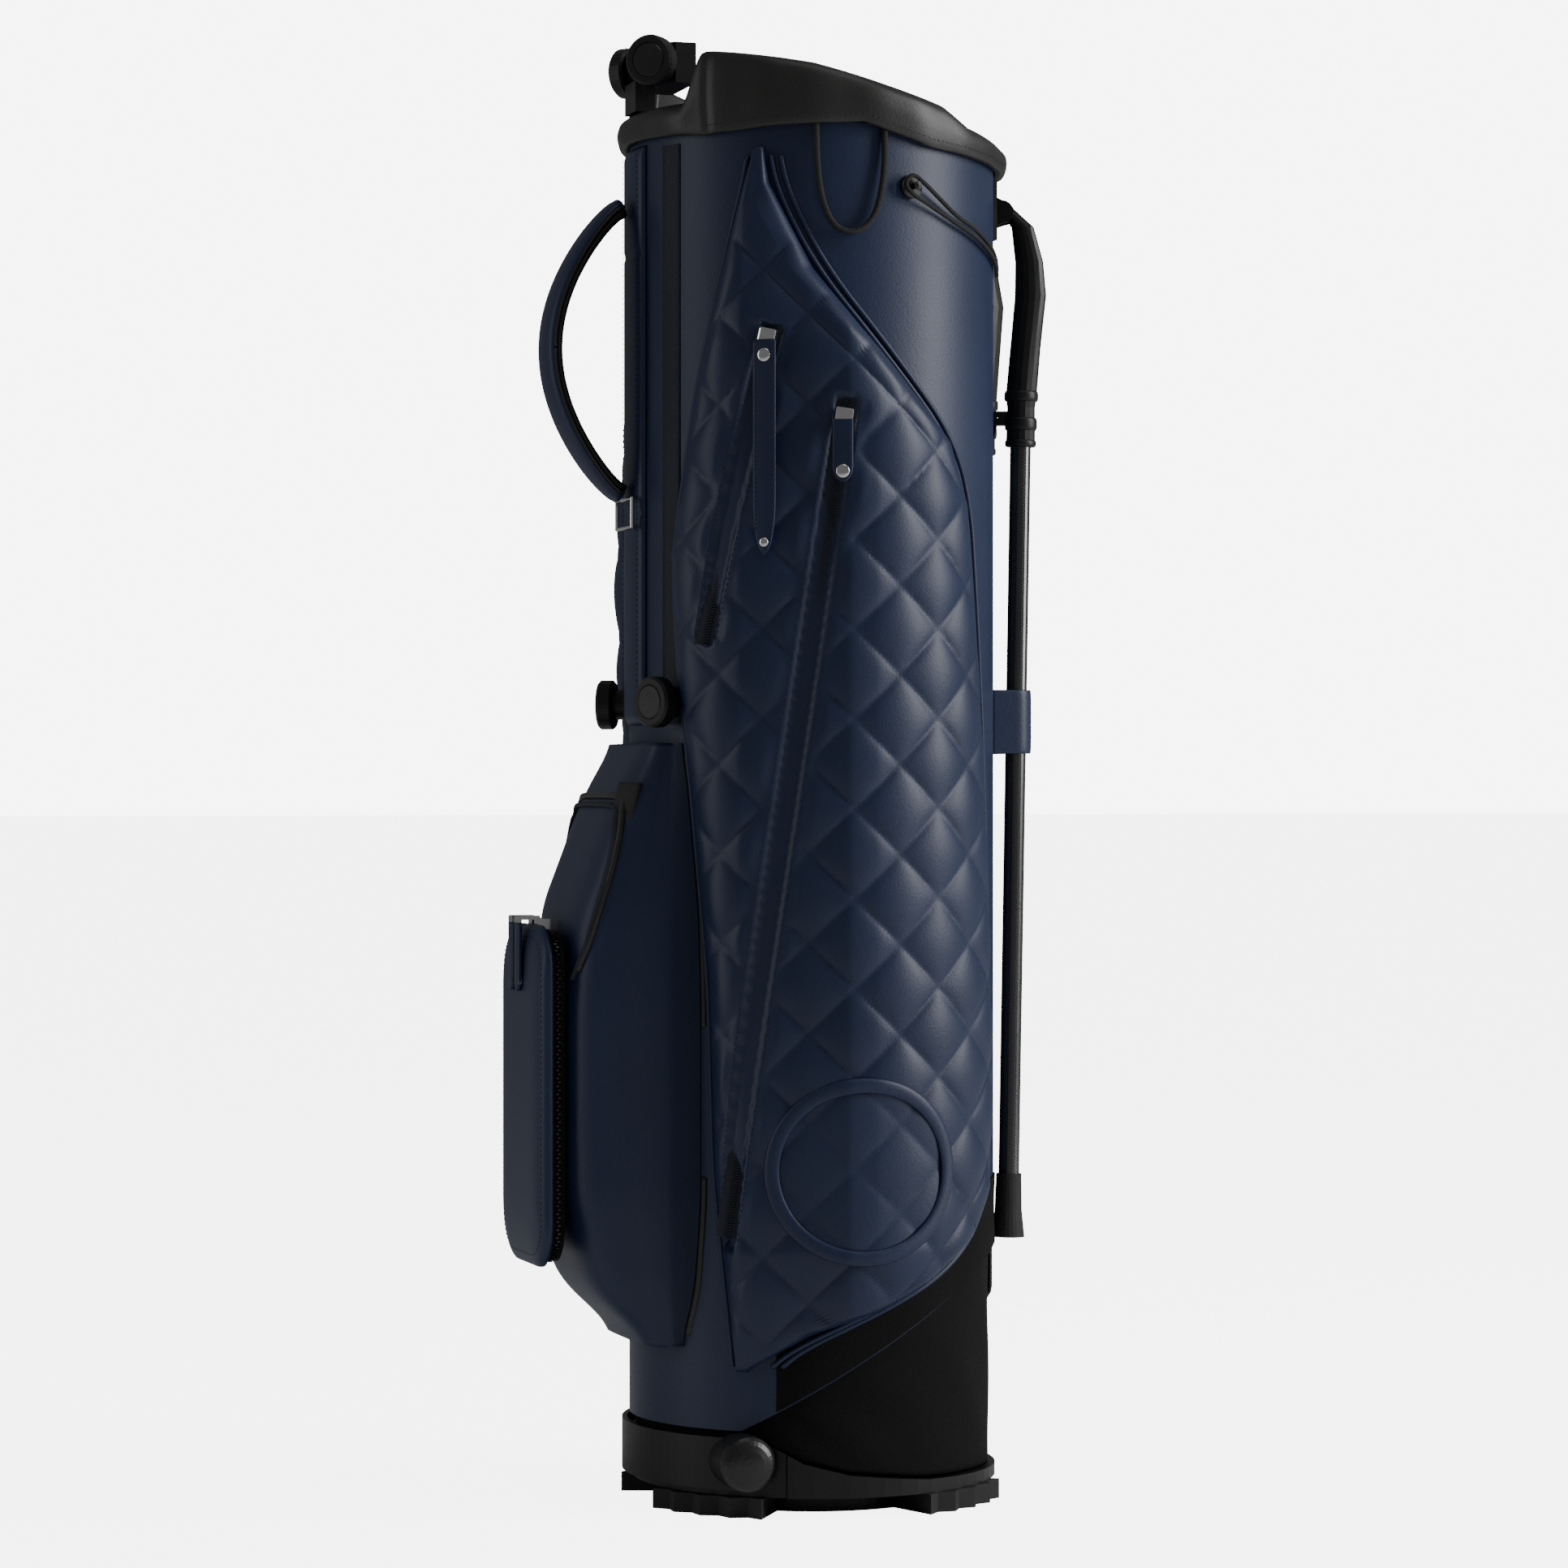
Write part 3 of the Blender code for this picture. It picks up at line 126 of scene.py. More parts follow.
def camera_sees(tree, socket, otherwise, seen):
    """Gives a strength one value for the camera's own rays and another for the light on the bag."""
    ray = tree.nodes.new("ShaderNodeLightPath")
    strength = tree.nodes.new("ShaderNodeMapRange")
    strength.inputs["To Min"].default_value = otherwise
    strength.inputs["To Max"].default_value = seen
    tree.links.new(ray.outputs["Is Camera Ray"], strength.inputs["Value"])
    tree.links.new(strength.outputs["Result"], socket)


world = bpy.data.worlds.new("studio")
world.use_nodes = True
sky = world.node_tree.nodes["Background"]
sky.inputs["Color"].default_value = (1.0, 1.0, 1.0, 1.0)
camera_sees(world.node_tree, sky.inputs["Strength"], AMBIENT, BACKDROP)
bpy.context.scene.world = world


def mesh_of(name, points, faces):
    """An object whose mesh has these points and faces."""
    mesh = bpy.data.meshes.new(name)
    mesh.from_pydata(points, [], faces)
    return linked(name, mesh)


def surface(name, grid, wrap_rows=False, wrap_columns=False):
    """A skin over a grid: each square of four neighbours is a face, and a wrapped side joins its start."""
    rows, columns = grid.shape[:2]
    index = np.arange(rows * columns).reshape(rows, columns)
    if wrap_rows:
        index = np.vstack([index, index[:1]])
    if wrap_columns:
        index = np.hstack([index, index[:, :1]])
    corners = (index[:-1, :-1], index[:-1, 1:], index[1:, 1:], index[1:, :-1])
    piece = mesh_of(name, grid.reshape(-1, 3), np.stack(corners, axis=-1).reshape(-1, 4))
    piece.data.shade_smooth()
    return piece


def tidy_skin(piece, merge=1e-5, sharp=None):
    """Merges the points that meet, turns the faces of the closed skin outwards, and marks sharp edges."""
    form = bmesh.new()
    form.from_mesh(piece.data)
    bmesh.ops.remove_doubles(form, verts=form.verts, dist=merge)
    bmesh.ops.recalc_face_normals(form, faces=form.faces)
    form.to_mesh(piece.data)
    form.free()
    piece.data.shade_smooth()
    if sharp:
        piece.data.set_sharp_from_angle(angle=np.radians(sharp))
    return piece


def new_material(name, colour, roughness, metallic=0.0, **sockets):
    """A principled material with its constant values on the shader's own sockets."""
    made = bpy.data.materials.new(name)
    made.use_nodes = True
    shader = made.node_tree.nodes["Principled BSDF"]
    shader.inputs["Base Color"].default_value = (*colour, 1.0)
    shader.inputs["Roughness"].default_value = roughness
    shader.inputs["Metallic"].default_value = metallic
    for socket, value in sockets.items():
        shader.inputs[socket.replace("_", " ")].default_value = value
    return made


pale = new_material("pale_floor", (0.93, 0.93, 0.93), 0.9, Emission_Color=(1.0, 1.0, 1.0, 1.0))
glow = pale.node_tree.nodes["Principled BSDF"].inputs["Emission Strength"]
camera_sees(pale.node_tree, glow, 0.0, FLOOR_GLOW)
corners = np.array([[[-1, -1, 0], [1, -1, 0]], [[-1, 1, 0], [1, 1, 0]]], float)
floor = surface("studio_floor", FLOOR_HALF * corners)
floor.data.materials.append(pale)
floor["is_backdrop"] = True


def shader_group(name, label, value):
    """A node group with one setting and two outputs. Returns it, the setting and Object coordinates."""
    group = bpy.data.node_groups.new(name, "ShaderNodeTree")
    group.interface.new_socket(label, in_out="INPUT", socket_type="NodeSocketFloat").default_value = value
    for output in ("Height", "Patch"):
        group.interface.new_socket(output, in_out="OUTPUT", socket_type="NodeSocketFloat")
    setting = group.nodes.new("NodeGroupInput").outputs[label]
    return group, setting, group.nodes.new("ShaderNodeTexCoord").outputs["Object"]


def put_out(group, height, patch):
    """Joins a group's outputs: the height of its relief, and the patches that colour and gloss follow."""
    result = group.nodes.new("NodeGroupOutput")
    group.links.new(height, result.inputs["Height"])
    group.links.new(patch, result.inputs["Patch"])


def feed(group, value, socket):
    """Sets an input socket from another socket or to a number."""
    if hasattr(value, "is_linked"):
        group.links.new(value, socket)
    else:
        socket.default_value = value


def texture(group, kind, source, scale, **values):
    """A procedural texture node that reads these coordinates at this scale."""
    node = group.nodes.new(kind)
    group.links.new(source, node.inputs["Vector"])
    feed(group, scale, node.inputs["Scale"])
    for socket, value in values.items():
        node.inputs[socket].default_value = value
    return node


def mathematics(group, operation, first, second):
    """A math node of two values, each a socket or a number."""
    node = group.nodes.new("ShaderNodeMath")
    node.operation = operation
    feed(group, first, node.inputs[0])
    feed(group, second, node.inputs[1])
    return node.outputs[0]


# Grain: small pebbles, and slow, cloudy patches where a hide takes dye unevenly.
grain, pebbles, place = shader_group("leather_grain", "Pebbles", 700.0)
pebble = texture(grain, "ShaderNodeTexVoronoi", place, pebbles)
pebble.feature = "SMOOTH_F1"
fine = texture(grain, "ShaderNodeTexNoise", place, 1400.0, Detail=3.0)
cloud = texture(grain, "ShaderNodeTexNoise", place, 9.0, Detail=4.0)
half_fine = mathematics(grain, "MULTIPLY", fine.outputs["Fac"], 0.5)
put_out(grain, mathematics(grain, "SUBTRACT", half_fine, pebble.outputs["Distance"]), cloud.outputs["Fac"])

# Weave: threads over and under each other, from two crossed waves, with a slow unevenness.
weave, threads, place = shader_group("plain_weave", "Threads", 500.0)
waves = []
for direction in ("Z", "DIAGONAL"):
    wave = texture(weave, "ShaderNodeTexWave", place, threads)
    wave.bands_direction = direction
    waves.append(wave.outputs["Fac"])
cloud = texture(weave, "ShaderNodeTexNoise", place, 14.0, Detail=5.0)
put_out(weave, mathematics(weave, "MULTIPLY", *waves), cloud.outputs["Fac"])

# Scuffs: fine scratches and dull patches, which break up the gloss of moulded and metal pieces.
scuff, patch_size, place = shader_group("handling_scuffs", "Size", 60.0)
patch = texture(scuff, "ShaderNodeTexNoise", place, patch_size, Detail=5.0)
stipple = texture(scuff, "ShaderNodeTexNoise", place, 2200.0, Detail=2.0)
put_out(scuff, stipple.outputs["Fac"], patch.outputs["Fac"])


def finish(name, group, low, high, rough_low, rough_high, bump, depth, settings=(), metallic=0.0, **sockets):
    """A material whose colour and roughness drift with a group's patches, and whose bump is its height."""
    made = new_material(name, low, rough_low, metallic, **sockets)
    tree = made.node_tree
    shader = tree.nodes["Principled BSDF"]
    effect = tree.nodes.new("ShaderNodeGroup")
    effect.node_tree = group
    for socket, value in settings:
        effect.inputs[socket].default_value = value
    colour = tree.nodes.new("ShaderNodeMix")
    colour.data_type = "RGBA"
    colour.inputs["A"].default_value = (*low, 1.0)
    colour.inputs["B"].default_value = (*high, 1.0)
    spread = tree.nodes.new("ShaderNodeMapRange")
    spread.inputs["To Min"].default_value = rough_low
    spread.inputs["To Max"].default_value = rough_high
    relief = tree.nodes.new("ShaderNodeBump")
    relief.inputs["Strength"].default_value = bump
    relief.inputs["Distance"].default_value = depth
    tree.links.new(effect.outputs["Patch"], colour.inputs["Factor"])
    tree.links.new(colour.outputs["Result"], shader.inputs["Base Color"])
    tree.links.new(effect.outputs["Patch"], spread.inputs["Value"])
    tree.links.new(spread.outputs["Result"], shader.inputs["Roughness"])
    tree.links.new(effect.outputs["Height"], relief.inputs["Height"])
    tree.links.new(relief.outputs["Normal"], shader.inputs["Normal"])
    return made


def dress(material, *nodes):
    """Gives a finish to the pieces of the frame whose shape is right already."""
    for node in nodes:
        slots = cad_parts[node].data.materials
        slots.clear()
        slots.append(material)


def fit(piece, material, slot, body, *nodes):
    """Gives a new piece its finish, lets it ride on its body, and hides the plain solids it stands for."""
    piece.data.materials.clear()
    piece.data.materials.append(material)
    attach(piece, body)
    if nodes:
        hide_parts(*nodes)
    return piece


def around(angle, radius, height):
    """Points at these angles from -Y towards +X, this far from the tube's axis."""
    turn = np.radians(np.asarray(angle, float))
    angle, radius, height = np.broadcast_arrays(turn, radius, height)
    return np.stack([radius * np.sin(angle), -radius * np.cos(angle), height * np.ones_like(angle)], -1)


def cubic(a, b, c, d, f):
    """The curve from b (f = 0) to c (f = 1) that leaves along c - a and arrives along d - b."""
    return 0.5 * (2 * b + (c - a) * f + (2 * a - 5 * b + 4 * c - d) * f**2 + (3 * b - a - 3 * c + d) * f**3)


def smooth_route(points, count):
    """A smooth curve through the points, a cubic for each stretch."""
    points = np.array(points, float)
    padded = np.vstack([2 * points[0] - points[1], points, 2 * points[-1] - points[-2]])
    t = np.linspace(0, len(points) - 1 - 1e-9, count)
    n = t.astype(int)
    f = (t - n)[:, None]
    return cubic(*(padded[n + k] for k in range(4)), f)


def even_steps(points, count):
    """The same path read at even steps along its length."""
    steps = np.linalg.norm(np.diff(points, axis=0), axis=1)
    run = np.concatenate([[0], np.cumsum(steps)])
    wanted = np.linspace(0, run[-1], count)
    return np.stack([np.interp(wanted, run, points[:, k]) for k in range(3)], -1)


def sweep(name, path, width, thickness=None, up=(0, 0, 1), sides=10, closed=False, power=1.0):
    """A section carried along a path: across = along x up, and the ring is width cos + thickness sin, each
    raised to a power. 1 gives an oval, and less gives a flat strap with round edges."""
    thickness = width if thickness is None else thickness
    if closed:
        along = np.roll(path, -1, axis=0) - np.roll(path, 1, axis=0)
    else:
        along = np.gradient(path, axis=0)
    along /= np.linalg.norm(along, axis=1, keepdims=True)
    up = np.broadcast_to(np.array(up, float), path.shape)
    across = np.cross(along, up)
    across /= np.linalg.norm(across, axis=1, keepdims=True) + 1e-12
    over = np.cross(across, along)
    turn = np.linspace(0, 2 * np.pi, sides, endpoint=False)[None, :, None]
    turn = turn + (0.0 if power == 1 else np.pi / sides)
    cosine = np.sign(np.cos(turn)) * np.abs(np.cos(turn)) ** power
    sine = np.sign(np.sin(turn)) * np.abs(np.sin(turn)) ** power
    width, thickness = (np.broadcast_to(v, len(path))[:, None, None] for v in (width, thickness))
    rings = path[:, None] + across[:, None] * cosine * width / 2 + over[:, None] * sine * thickness / 2
    if not closed:
        first, last = (np.repeat(path[at, None], sides, 1) for at in ([0], [-1]))
        rings = np.concatenate([first, rings, last])
    return tidy_skin(surface(name, rings, wrap_rows=closed, wrap_columns=True), 1e-6)


def gather(name, pieces):
    """Several small pieces of one finish as one object."""
    form = bmesh.new()
    for piece in pieces:
        form.from_mesh(piece.data)
        bpy.data.objects.remove(piece)
    mesh = bpy.data.meshes.new(name)
    form.to_mesh(mesh)
    form.free()
    mesh.shade_smooth()
    return linked(name, mesh)


def stitches(name, paths, outward, pitch=0.0034, length=0.0022, width=0.00055, proud=0.0001):
    """Rows of thread: at each pitch along a path, a six-cornered sliver with pointed ends. outward gives
    each point's direction off the leather."""
    points, faces = [], []
    sliver = [[0, 1, 2], [0, 2, 3], [0, 3, 4], [0, 4, 1], [5, 2, 1], [5, 3, 2], [5, 4, 3], [5, 1, 4]]
    for path in paths:
        span = np.linalg.norm(np.diff(path, axis=0), axis=1).sum()
        count = int(span / pitch)
        if count < 1:
            continue
        line = even_steps(path, 2 * count + 1)
        middle = line[1::2]
        along = line[2::2] - line[:-1:2]
        along /= np.linalg.norm(along, axis=1, keepdims=True) + 1e-12
        out = outward(middle)
        side = np.cross(along, out)
        centre = middle + out * proud
        ring = [centre + way * width / 2 for way in (side, out, -side, -out)]
        corners = np.stack([centre - along * length / 2, *ring, centre + along * length / 2], 1)
        first = sum(len(block) for block in points)
        points.append(corners.reshape(-1, 3))
        faces.append((np.array(sliver) + first + 6 * np.arange(count)[:, None, None]).reshape(-1, 3))
    return tidy_skin(mesh_of(name, np.concatenate(points), np.concatenate(faces)), 1e-7)


# ------------ towel loop and elastic loop
# A twisted black cord hangs from the cuff as a towel loop. A thin elastic runs from an eyelet near the legs,
# round a small moulded hook, and back. Both are round cords along the frame's own routes.

cord_black = finish("cord_black", weave, (0.004, 0.004, 0.005), (0.012, 0.012, 0.014), 0.65, 0.85,
                    0.6, 0.0004, [("Threads", 900.0)])
TOWEL_ROUTE = (
    (-16.0, 0.1124, 0.8100), (-15.8, 0.1130, 0.792), (-15.0, 0.1140, 0.774), (-13.2, 0.1142, 0.760),
    (-10.2, 0.1142, 0.7505), (-6.0, 0.1142, 0.7475), (-1.8, 0.1142, 0.7505), (1.6, 0.1142, 0.759),
    (3.6, 0.1141, 0.773), (4.6, 0.1134, 0.789), (4.8, 0.1124, 0.8070),
)
ELASTIC_ROUTE = (
    (70.0, 0.1117, 0.7330), (60.0, 0.1124, 0.7390), (50.0, 0.1132, 0.7450), (40.0, 0.1136, 0.7510),
    (30.0, 0.1140, 0.7570), (18.0, 0.1150, 0.7665), (13.4, 0.1160, 0.7705), (11.0, 0.1160, 0.7765),
    (13.4, 0.1160, 0.7815), (18.0, 0.1158, 0.7765), (30.0, 0.1140, 0.7620), (40.0, 0.1136, 0.7555),
    (50.0, 0.1132, 0.7490), (60.0, 0.1124, 0.7425), (70.0, 0.1117, 0.7365),
)
for node, name, route, radius, count, stiffness in (
    ("towel_loop", "towel_cord", TOWEL_ROUTE, 0.0019, 90, "limp"),
    ("elastic_loop", "elastic_cord", ELASTIC_ROUTE, 0.0013, 120, "medium"),
):
    path = smooth_route([around(*point) for point in route], count)
    curve = bpy.data.curves.new(name, "CURVE")
    curve.dimensions = "3D"
    curve.bevel_depth = radius
    curve.bevel_resolution = 3
    curve.use_fill_caps = True
    line = curve.splines.new("POLY")
    line.points.add(count - 1)
    line.points.foreach_set("co", np.hstack([path, np.ones((count, 1))]).ravel())
    cord = linked(name, curve)
    fit(cord, cord_black, "black_fabric", "bag", node)
    length = float(np.linalg.norm(np.diff(path, axis=0), axis=1).sum())

# ------------ foot, cleats and tilt hinge
# The foot is a moulded shoe of satin black plastic with four rubber cleats. The heel yoke wraps the spine
# side and turns on two domed pins. Their shapes come from the frame. The finish is moulded stipple, scuffed.

moulded = finish("moulded_black", scuff, (0.003, 0.003, 0.0032), (0.006, 0.006, 0.006), 0.34, 0.50,
                 0.12, 0.0004, Specular_IOR_Level=0.35)
gloss_dome = finish("dome_black", scuff, (0.006, 0.006, 0.0065), (0.010, 0.010, 0.010), 0.26, 0.38,
                    0.05, 0.0002)
rubber = finish("cleat_rubber", scuff, (0.006, 0.006, 0.006), (0.015, 0.015, 0.015), 0.6, 0.85, 0.3, 0.0006)
dress(moulded, "foot_shell", "heel_yoke")
dress(gloss_dome, "pivot_dome_near", "pivot_dome_far")
dress(rubber, "cleat_1", "cleat_2", "cleat_3", "cleat_4")

# ------------ tube
# The bag's wall is navy leather over a stiff liner. It is one skin with a slanted mouth, and its shape comes
# from the frame. It is navy inside and out.

NAVY_LOW = (0.0068, 0.0145, 0.0450)
NAVY_HIGH = (0.0105, 0.0215, 0.0640)
navy = finish("navy_leather", grain, NAVY_LOW, NAVY_HIGH, 0.40, 0.52, 0.16, 0.0004, Specular_IOR_Level=0.42)
navy_dark = finish("navy_tape", weave, (0.004, 0.007, 0.018), (0.007, 0.011, 0.026), 0.6, 0.8, 0.4, 0.0004)
fabric = finish("black_cloth", weave, (0.0015, 0.0015, 0.0018), (0.0040, 0.0040, 0.0045), 0.75, 0.95,
                0.5, 0.0005, Specular_IOR_Level=0.2)
dress(fabric, "divider_walls")
dress(moulded, "divider_grid")
aluminium = finish("stay_aluminium", scuff, (0.50, 0.50, 0.52), (0.62, 0.62, 0.63), 0.28, 0.42,
                   0.05, 0.0002, metallic=1.0)
dress(aluminium, "spine_stay_near", "spine_stay_far")

TUBE_R, WALL, FLOOR_THICK = 0.110, 0.003, 0.0035
LEG_FLAT = 0.100  # where the leg side is cut flat
FLOOR_LOW, FLOOR_SLOPE, FLOOR_START = 0.0502, np.radians(31.0), -0.070
MOUTH_HEIGHT, MOUTH_FALL = 0.811, 0.07


def tube_bottom(x):
    """Height of the tube's underside: flat behind the tilt hinge and rising at 31 degrees in front of it."""
    return FLOOR_LOW + np.tan(FLOOR_SLOPE) * np.maximum(0.0, x - FLOOR_START)


def straight_off(points):
    """The level direction away from the tube's axis."""
    level = points * np.array([1, 1, 0])
    return level / np.linalg.norm(level, axis=1, keepdims=True)


turn = np.linspace(0, 2 * np.pi, 288, endpoint=False)


def tube_rows(inset, shares, low, high):
    """Rows of the tube's outline, a circle with its leg side cut flat, from low to high at these shares."""
    x = np.minimum((TUBE_R - inset) * np.cos(turn), LEG_FLAT - inset)
    y = (TUBE_R - inset) * np.sin(turn)
    heights = low(x) + (high(x) - low(x)) * shares[:, None]
    return np.stack([np.broadcast_to(x, heights.shape), np.broadcast_to(y, heights.shape), heights], -1)


def floor_rows(inset, shares, height):
    """Rows across the sloping floor, from its rim (1) to its middle (0)."""
    x = np.minimum((TUBE_R - inset) * np.cos(turn), LEG_FLAT - inset) * shares[:, None]
    y = (TUBE_R - inset) * np.sin(turn) * shares[:, None]
    return np.stack([x, y, height(x)], -1)


def mouth_edge(x):
    """Height of the mouth's rim, which falls towards the legs."""
    return MOUTH_HEIGHT - MOUTH_FALL * x


def floor_top(x):
    return tube_bottom(x) + FLOOR_THICK


up_shares, floor_shares = np.linspace(0, 1, 90), np.linspace(0, 1, 24)
shell = np.concatenate([
    floor_rows(0, floor_shares, tube_bottom),
    tube_rows(0, up_shares, tube_bottom, mouth_edge),
    tube_rows(WALL, up_shares[::-1], floor_top, mouth_edge),
    floor_rows(WALL, floor_shares[::-1], floor_top),
])
tube = tidy_skin(surface("tube_leather", shell, wrap_columns=True), sharp=50)
fit(tube, navy, "navy_leather", "bag", "body_tube")

# A black cloth skirt covers the lower end on the leg side.
SKIRT_TOP = ((-28, 10, 45, 90, 135, 170, 208), (0.128, 0.156, 0.188, 0.200, 0.188, 0.156, 0.128))
SKIRT_THICK = 0.0008
angles = np.linspace(-28, 208, 190)
share = np.linspace(0, 1, 60)[:, None]
skirt_x = TUBE_R * np.sin(np.radians(angles))
low = tube_bottom(skirt_x) + 0.001
high = np.interp(angles, *SKIRT_TOP)
heights = low + (high - low) * share
folds = 0.0006 * np.sin(np.radians(angles) * 9 + heights * 40) * np.sin(np.pi * share)
leg_side = np.sin(np.radians(angles))
flat = np.where(leg_side > 0, LEG_FLAT / np.maximum(leg_side, 0.1), 1.0)
outer = np.minimum(TUBE_R, flat) + 0.0012 + folds
skirt = np.concatenate([around(angles, outer, heights), around(angles, outer - SKIRT_THICK, heights)[::-1]])
fit(tidy_skin(surface("lower_skirt", skirt, wrap_rows=True)), fabric, "black_fabric", "bag")

# ------------ gusset
# A soft black cloth ring joins foot and tube and, on the real bag, folds as the bag tilts. It is a thin
# closed skin with shallow folds, and it rides on neither body.

GUSSET_R, GUSSET_THICK = 0.1063, 0.0009
FOOT_RIM = ((-0.2, -0.054, -0.037, -0.010, 0.040, 0.2), (0.042, 0.042, 0.032, 0.025, 0.020, 0.018))
angles = np.linspace(0, 360, 240, endpoint=False)
foot_x = GUSSET_R * np.sin(np.radians(angles))
low = np.interp(foot_x, *FOOT_RIM) + 0.0018
high = tube_bottom(foot_x) + 0.0015
share = np.linspace(0, 1, 40)[:, None]
heights = low + (high - low) * share
folds = 0.0005 * np.sin(np.radians(angles) * 14 + share * 9) * np.sin(np.pi * share) * (foot_x > -0.04)
outer, inner = (around(angles, radius + folds, heights) for radius in (GUSSET_R, GUSSET_R - GUSSET_THICK))
gusset = np.concatenate([outer, inner[::-1]])
gusset = tidy_skin(surface("gusset_cloth", gusset, wrap_rows=True, wrap_columns=True))
gusset.data.materials.append(fabric)
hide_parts("base_gusset")
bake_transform(gusset)

# ------------ cuff
# A padded collar of smooth black leather is rolled over the mouth. Its section is a soft closed curve,
# lower in the notch at the spine, with a seam on each side of the notch and a stitched hem.

cuff_black = finish("cuff_leather", grain, (0.011, 0.0105, 0.0102), (0.019, 0.0182, 0.0175), 0.40, 0.52,
                    0.14, 0.0004, [("Pebbles", 620.0)])
CUFF_R, NOTCH_CREST, NOTCH_HALF = 0.1175, 0.8265, 31


def cuff_hem(angle):
    """Height of the cuff's lower edge, along X from the spine side to the leg side."""
    across = (-0.118, -0.092, -0.051, -0.004, 0.013, 0.040, 0.112, 0.118)
    heights = (0.809, 0.807, 0.810, 0.812, 0.807, 0.800, 0.7935, 0.793)
    return np.interp(CUFF_R * np.sin(np.radians(angle)), across, heights)


def off_spine(angle):
    """How many degrees this angle lies from the spine's."""
    return np.abs((angle + 270) % 360 - 180)


def cuff_crest(angle):
    """Height of the crest: falling to the leg side, with the low notch blended in at the spine."""
    across = (-0.117, -0.088, -0.034, 0.013, 0.051, 0.071, 0.112, 0.118)
    heights = (0.857, 0.855, 0.846, 0.834, 0.825, 0.815, 0.8085, 0.808)
    crest = np.interp(CUFF_R * np.sin(np.radians(angle)), across, heights)
    share = np.clip((off_spine(angle) - NOTCH_HALF) / 8, 0, 1)
    return NOTCH_CREST + (crest - NOTCH_CREST) * share * share * (3 - 2 * share)


angles = np.linspace(0, 360, 320, endpoint=False)
low, top = cuff_hem(angles), cuff_crest(angles)
seat = TUBE_R + 0.0006
mouth = MOUTH_HEIGHT - MOUTH_FALL * seat * np.sin(np.radians(angles)) + 0.001
knots = [
    (seat, low + 0.0005), (0.1150, low - 0.0002), (0.1172, low + (top - low) * 0.30),
    (CUFF_R, low + (top - low) * 0.58), (0.1158, top - 0.0040), (0.1105, top - 0.0002),
    (0.1035, top - 0.0012), (0.0995, top - 0.0050),
    (0.0992, mouth + 0.0020), (0.1030, mouth), (seat - 0.001, mouth), (seat, (low + mouth) / 2),
]
rings = np.stack([around(angles, radius, height) for radius, height in knots], 1)
wrapped = np.concatenate([rings[:, -1:], rings, rings[:, :2]], 1)
t = np.linspace(0, len(knots), 60, endpoint=False)
n = t.astype(int)
f = (t - n)[None, :, None]
cuff = cubic(*(wrapped[:, n + k] for k in range(4)), f)
seam = -0.0013 * np.exp(-((off_spine(angles) - NOTCH_HALF - 10) / 0.8) ** 2)
soft = 0.00035 * np.sin(np.radians(angles) * 11) + 0.00025 * np.sin(np.radians(angles) * 23 + 1.3)
away = straight_off(cuff.reshape(-1, 3)).reshape(cuff.shape)
outside = (np.linalg.norm(cuff[..., :2], axis=-1) > 0.1145)[..., None]
cuff += away * outside * (seam + soft)[:, None, None]
cuff = tidy_skin(surface("cuff_padding", cuff, wrap_rows=True, wrap_columns=True))
fit(cuff, cuff_black, "black_leather", "bag", "top_cuff")
twist = [("Threads", 1500.0)]
thread_black = finish("thread_black", weave, (0.008, 0.008, 0.009), (0.018, 0.018, 0.020), 0.5, 0.7,
                      0.4, 0.0002, twist)
thread_navy = finish("thread_navy", weave, (0.0025, 0.005, 0.015), (0.006, 0.011, 0.028), 0.5, 0.65,
                     0.4, 0.0002, twist)
hem_angles = np.linspace(-50, 230, 400)
hem = around(hem_angles, 0.11745, cuff_hem(hem_angles) + 0.0035)
fit(stitches("cuff_hem_stitches", [hem], straight_off), thread_black, "black_leather", "bag")

# ------------ spine and side tapes
# A padded strip of navy leather runs down the spine under the handle, edged with thread. A dark woven tape
# with a raised rib on each edge lies beside it on both sides, and it carries nothing.

SPINE_LOW, SPINE_HIGH = 0.462, 0.806
SPINE_SEAMS = (0.742, 0.588)
spine_angles = np.linspace(-100, -80, 40)
share = np.linspace(-1, 1, 40)
heights = np.linspace(SPINE_LOW, SPINE_HIGH, 160)[:, None]
ends = np.minimum(1, np.minimum(heights - SPINE_LOW, SPINE_HIGH - heights) / 0.006)
puff = 0.1109 + 0.0040 * (1 - np.abs(share) ** 4) ** 0.5 * np.sqrt(np.clip(ends, 0, 1))
cross = sum(-0.0010 * np.exp(-((heights - seam_at) / 0.0016) ** 2) for seam_at in SPINE_SEAMS)
front = around(spine_angles, puff + cross * (np.abs(share) < 0.93), heights)
back = around(spine_angles, 0.1108, heights)[:, ::-1]
spine = tidy_skin(surface("spine_padding", np.concatenate([front, back], 1), wrap_columns=True))
form = bmesh.new()
form.from_mesh(spine.data)
bmesh.ops.holes_fill(form, edges=form.edges)
bmesh.ops.recalc_face_normals(form, faces=form.faces)
form.to_mesh(spine.data)
form.free()
fit(spine, navy, "navy_leather", "bag", "spine_panel")
rows = [around(angle, 0.1146, np.linspace(0.466, 0.802, 60)) for angle in (-97.6, -82.4)]
fit(stitches("spine_stitches", rows, straight_off), thread_navy, "navy_leather", "bag")

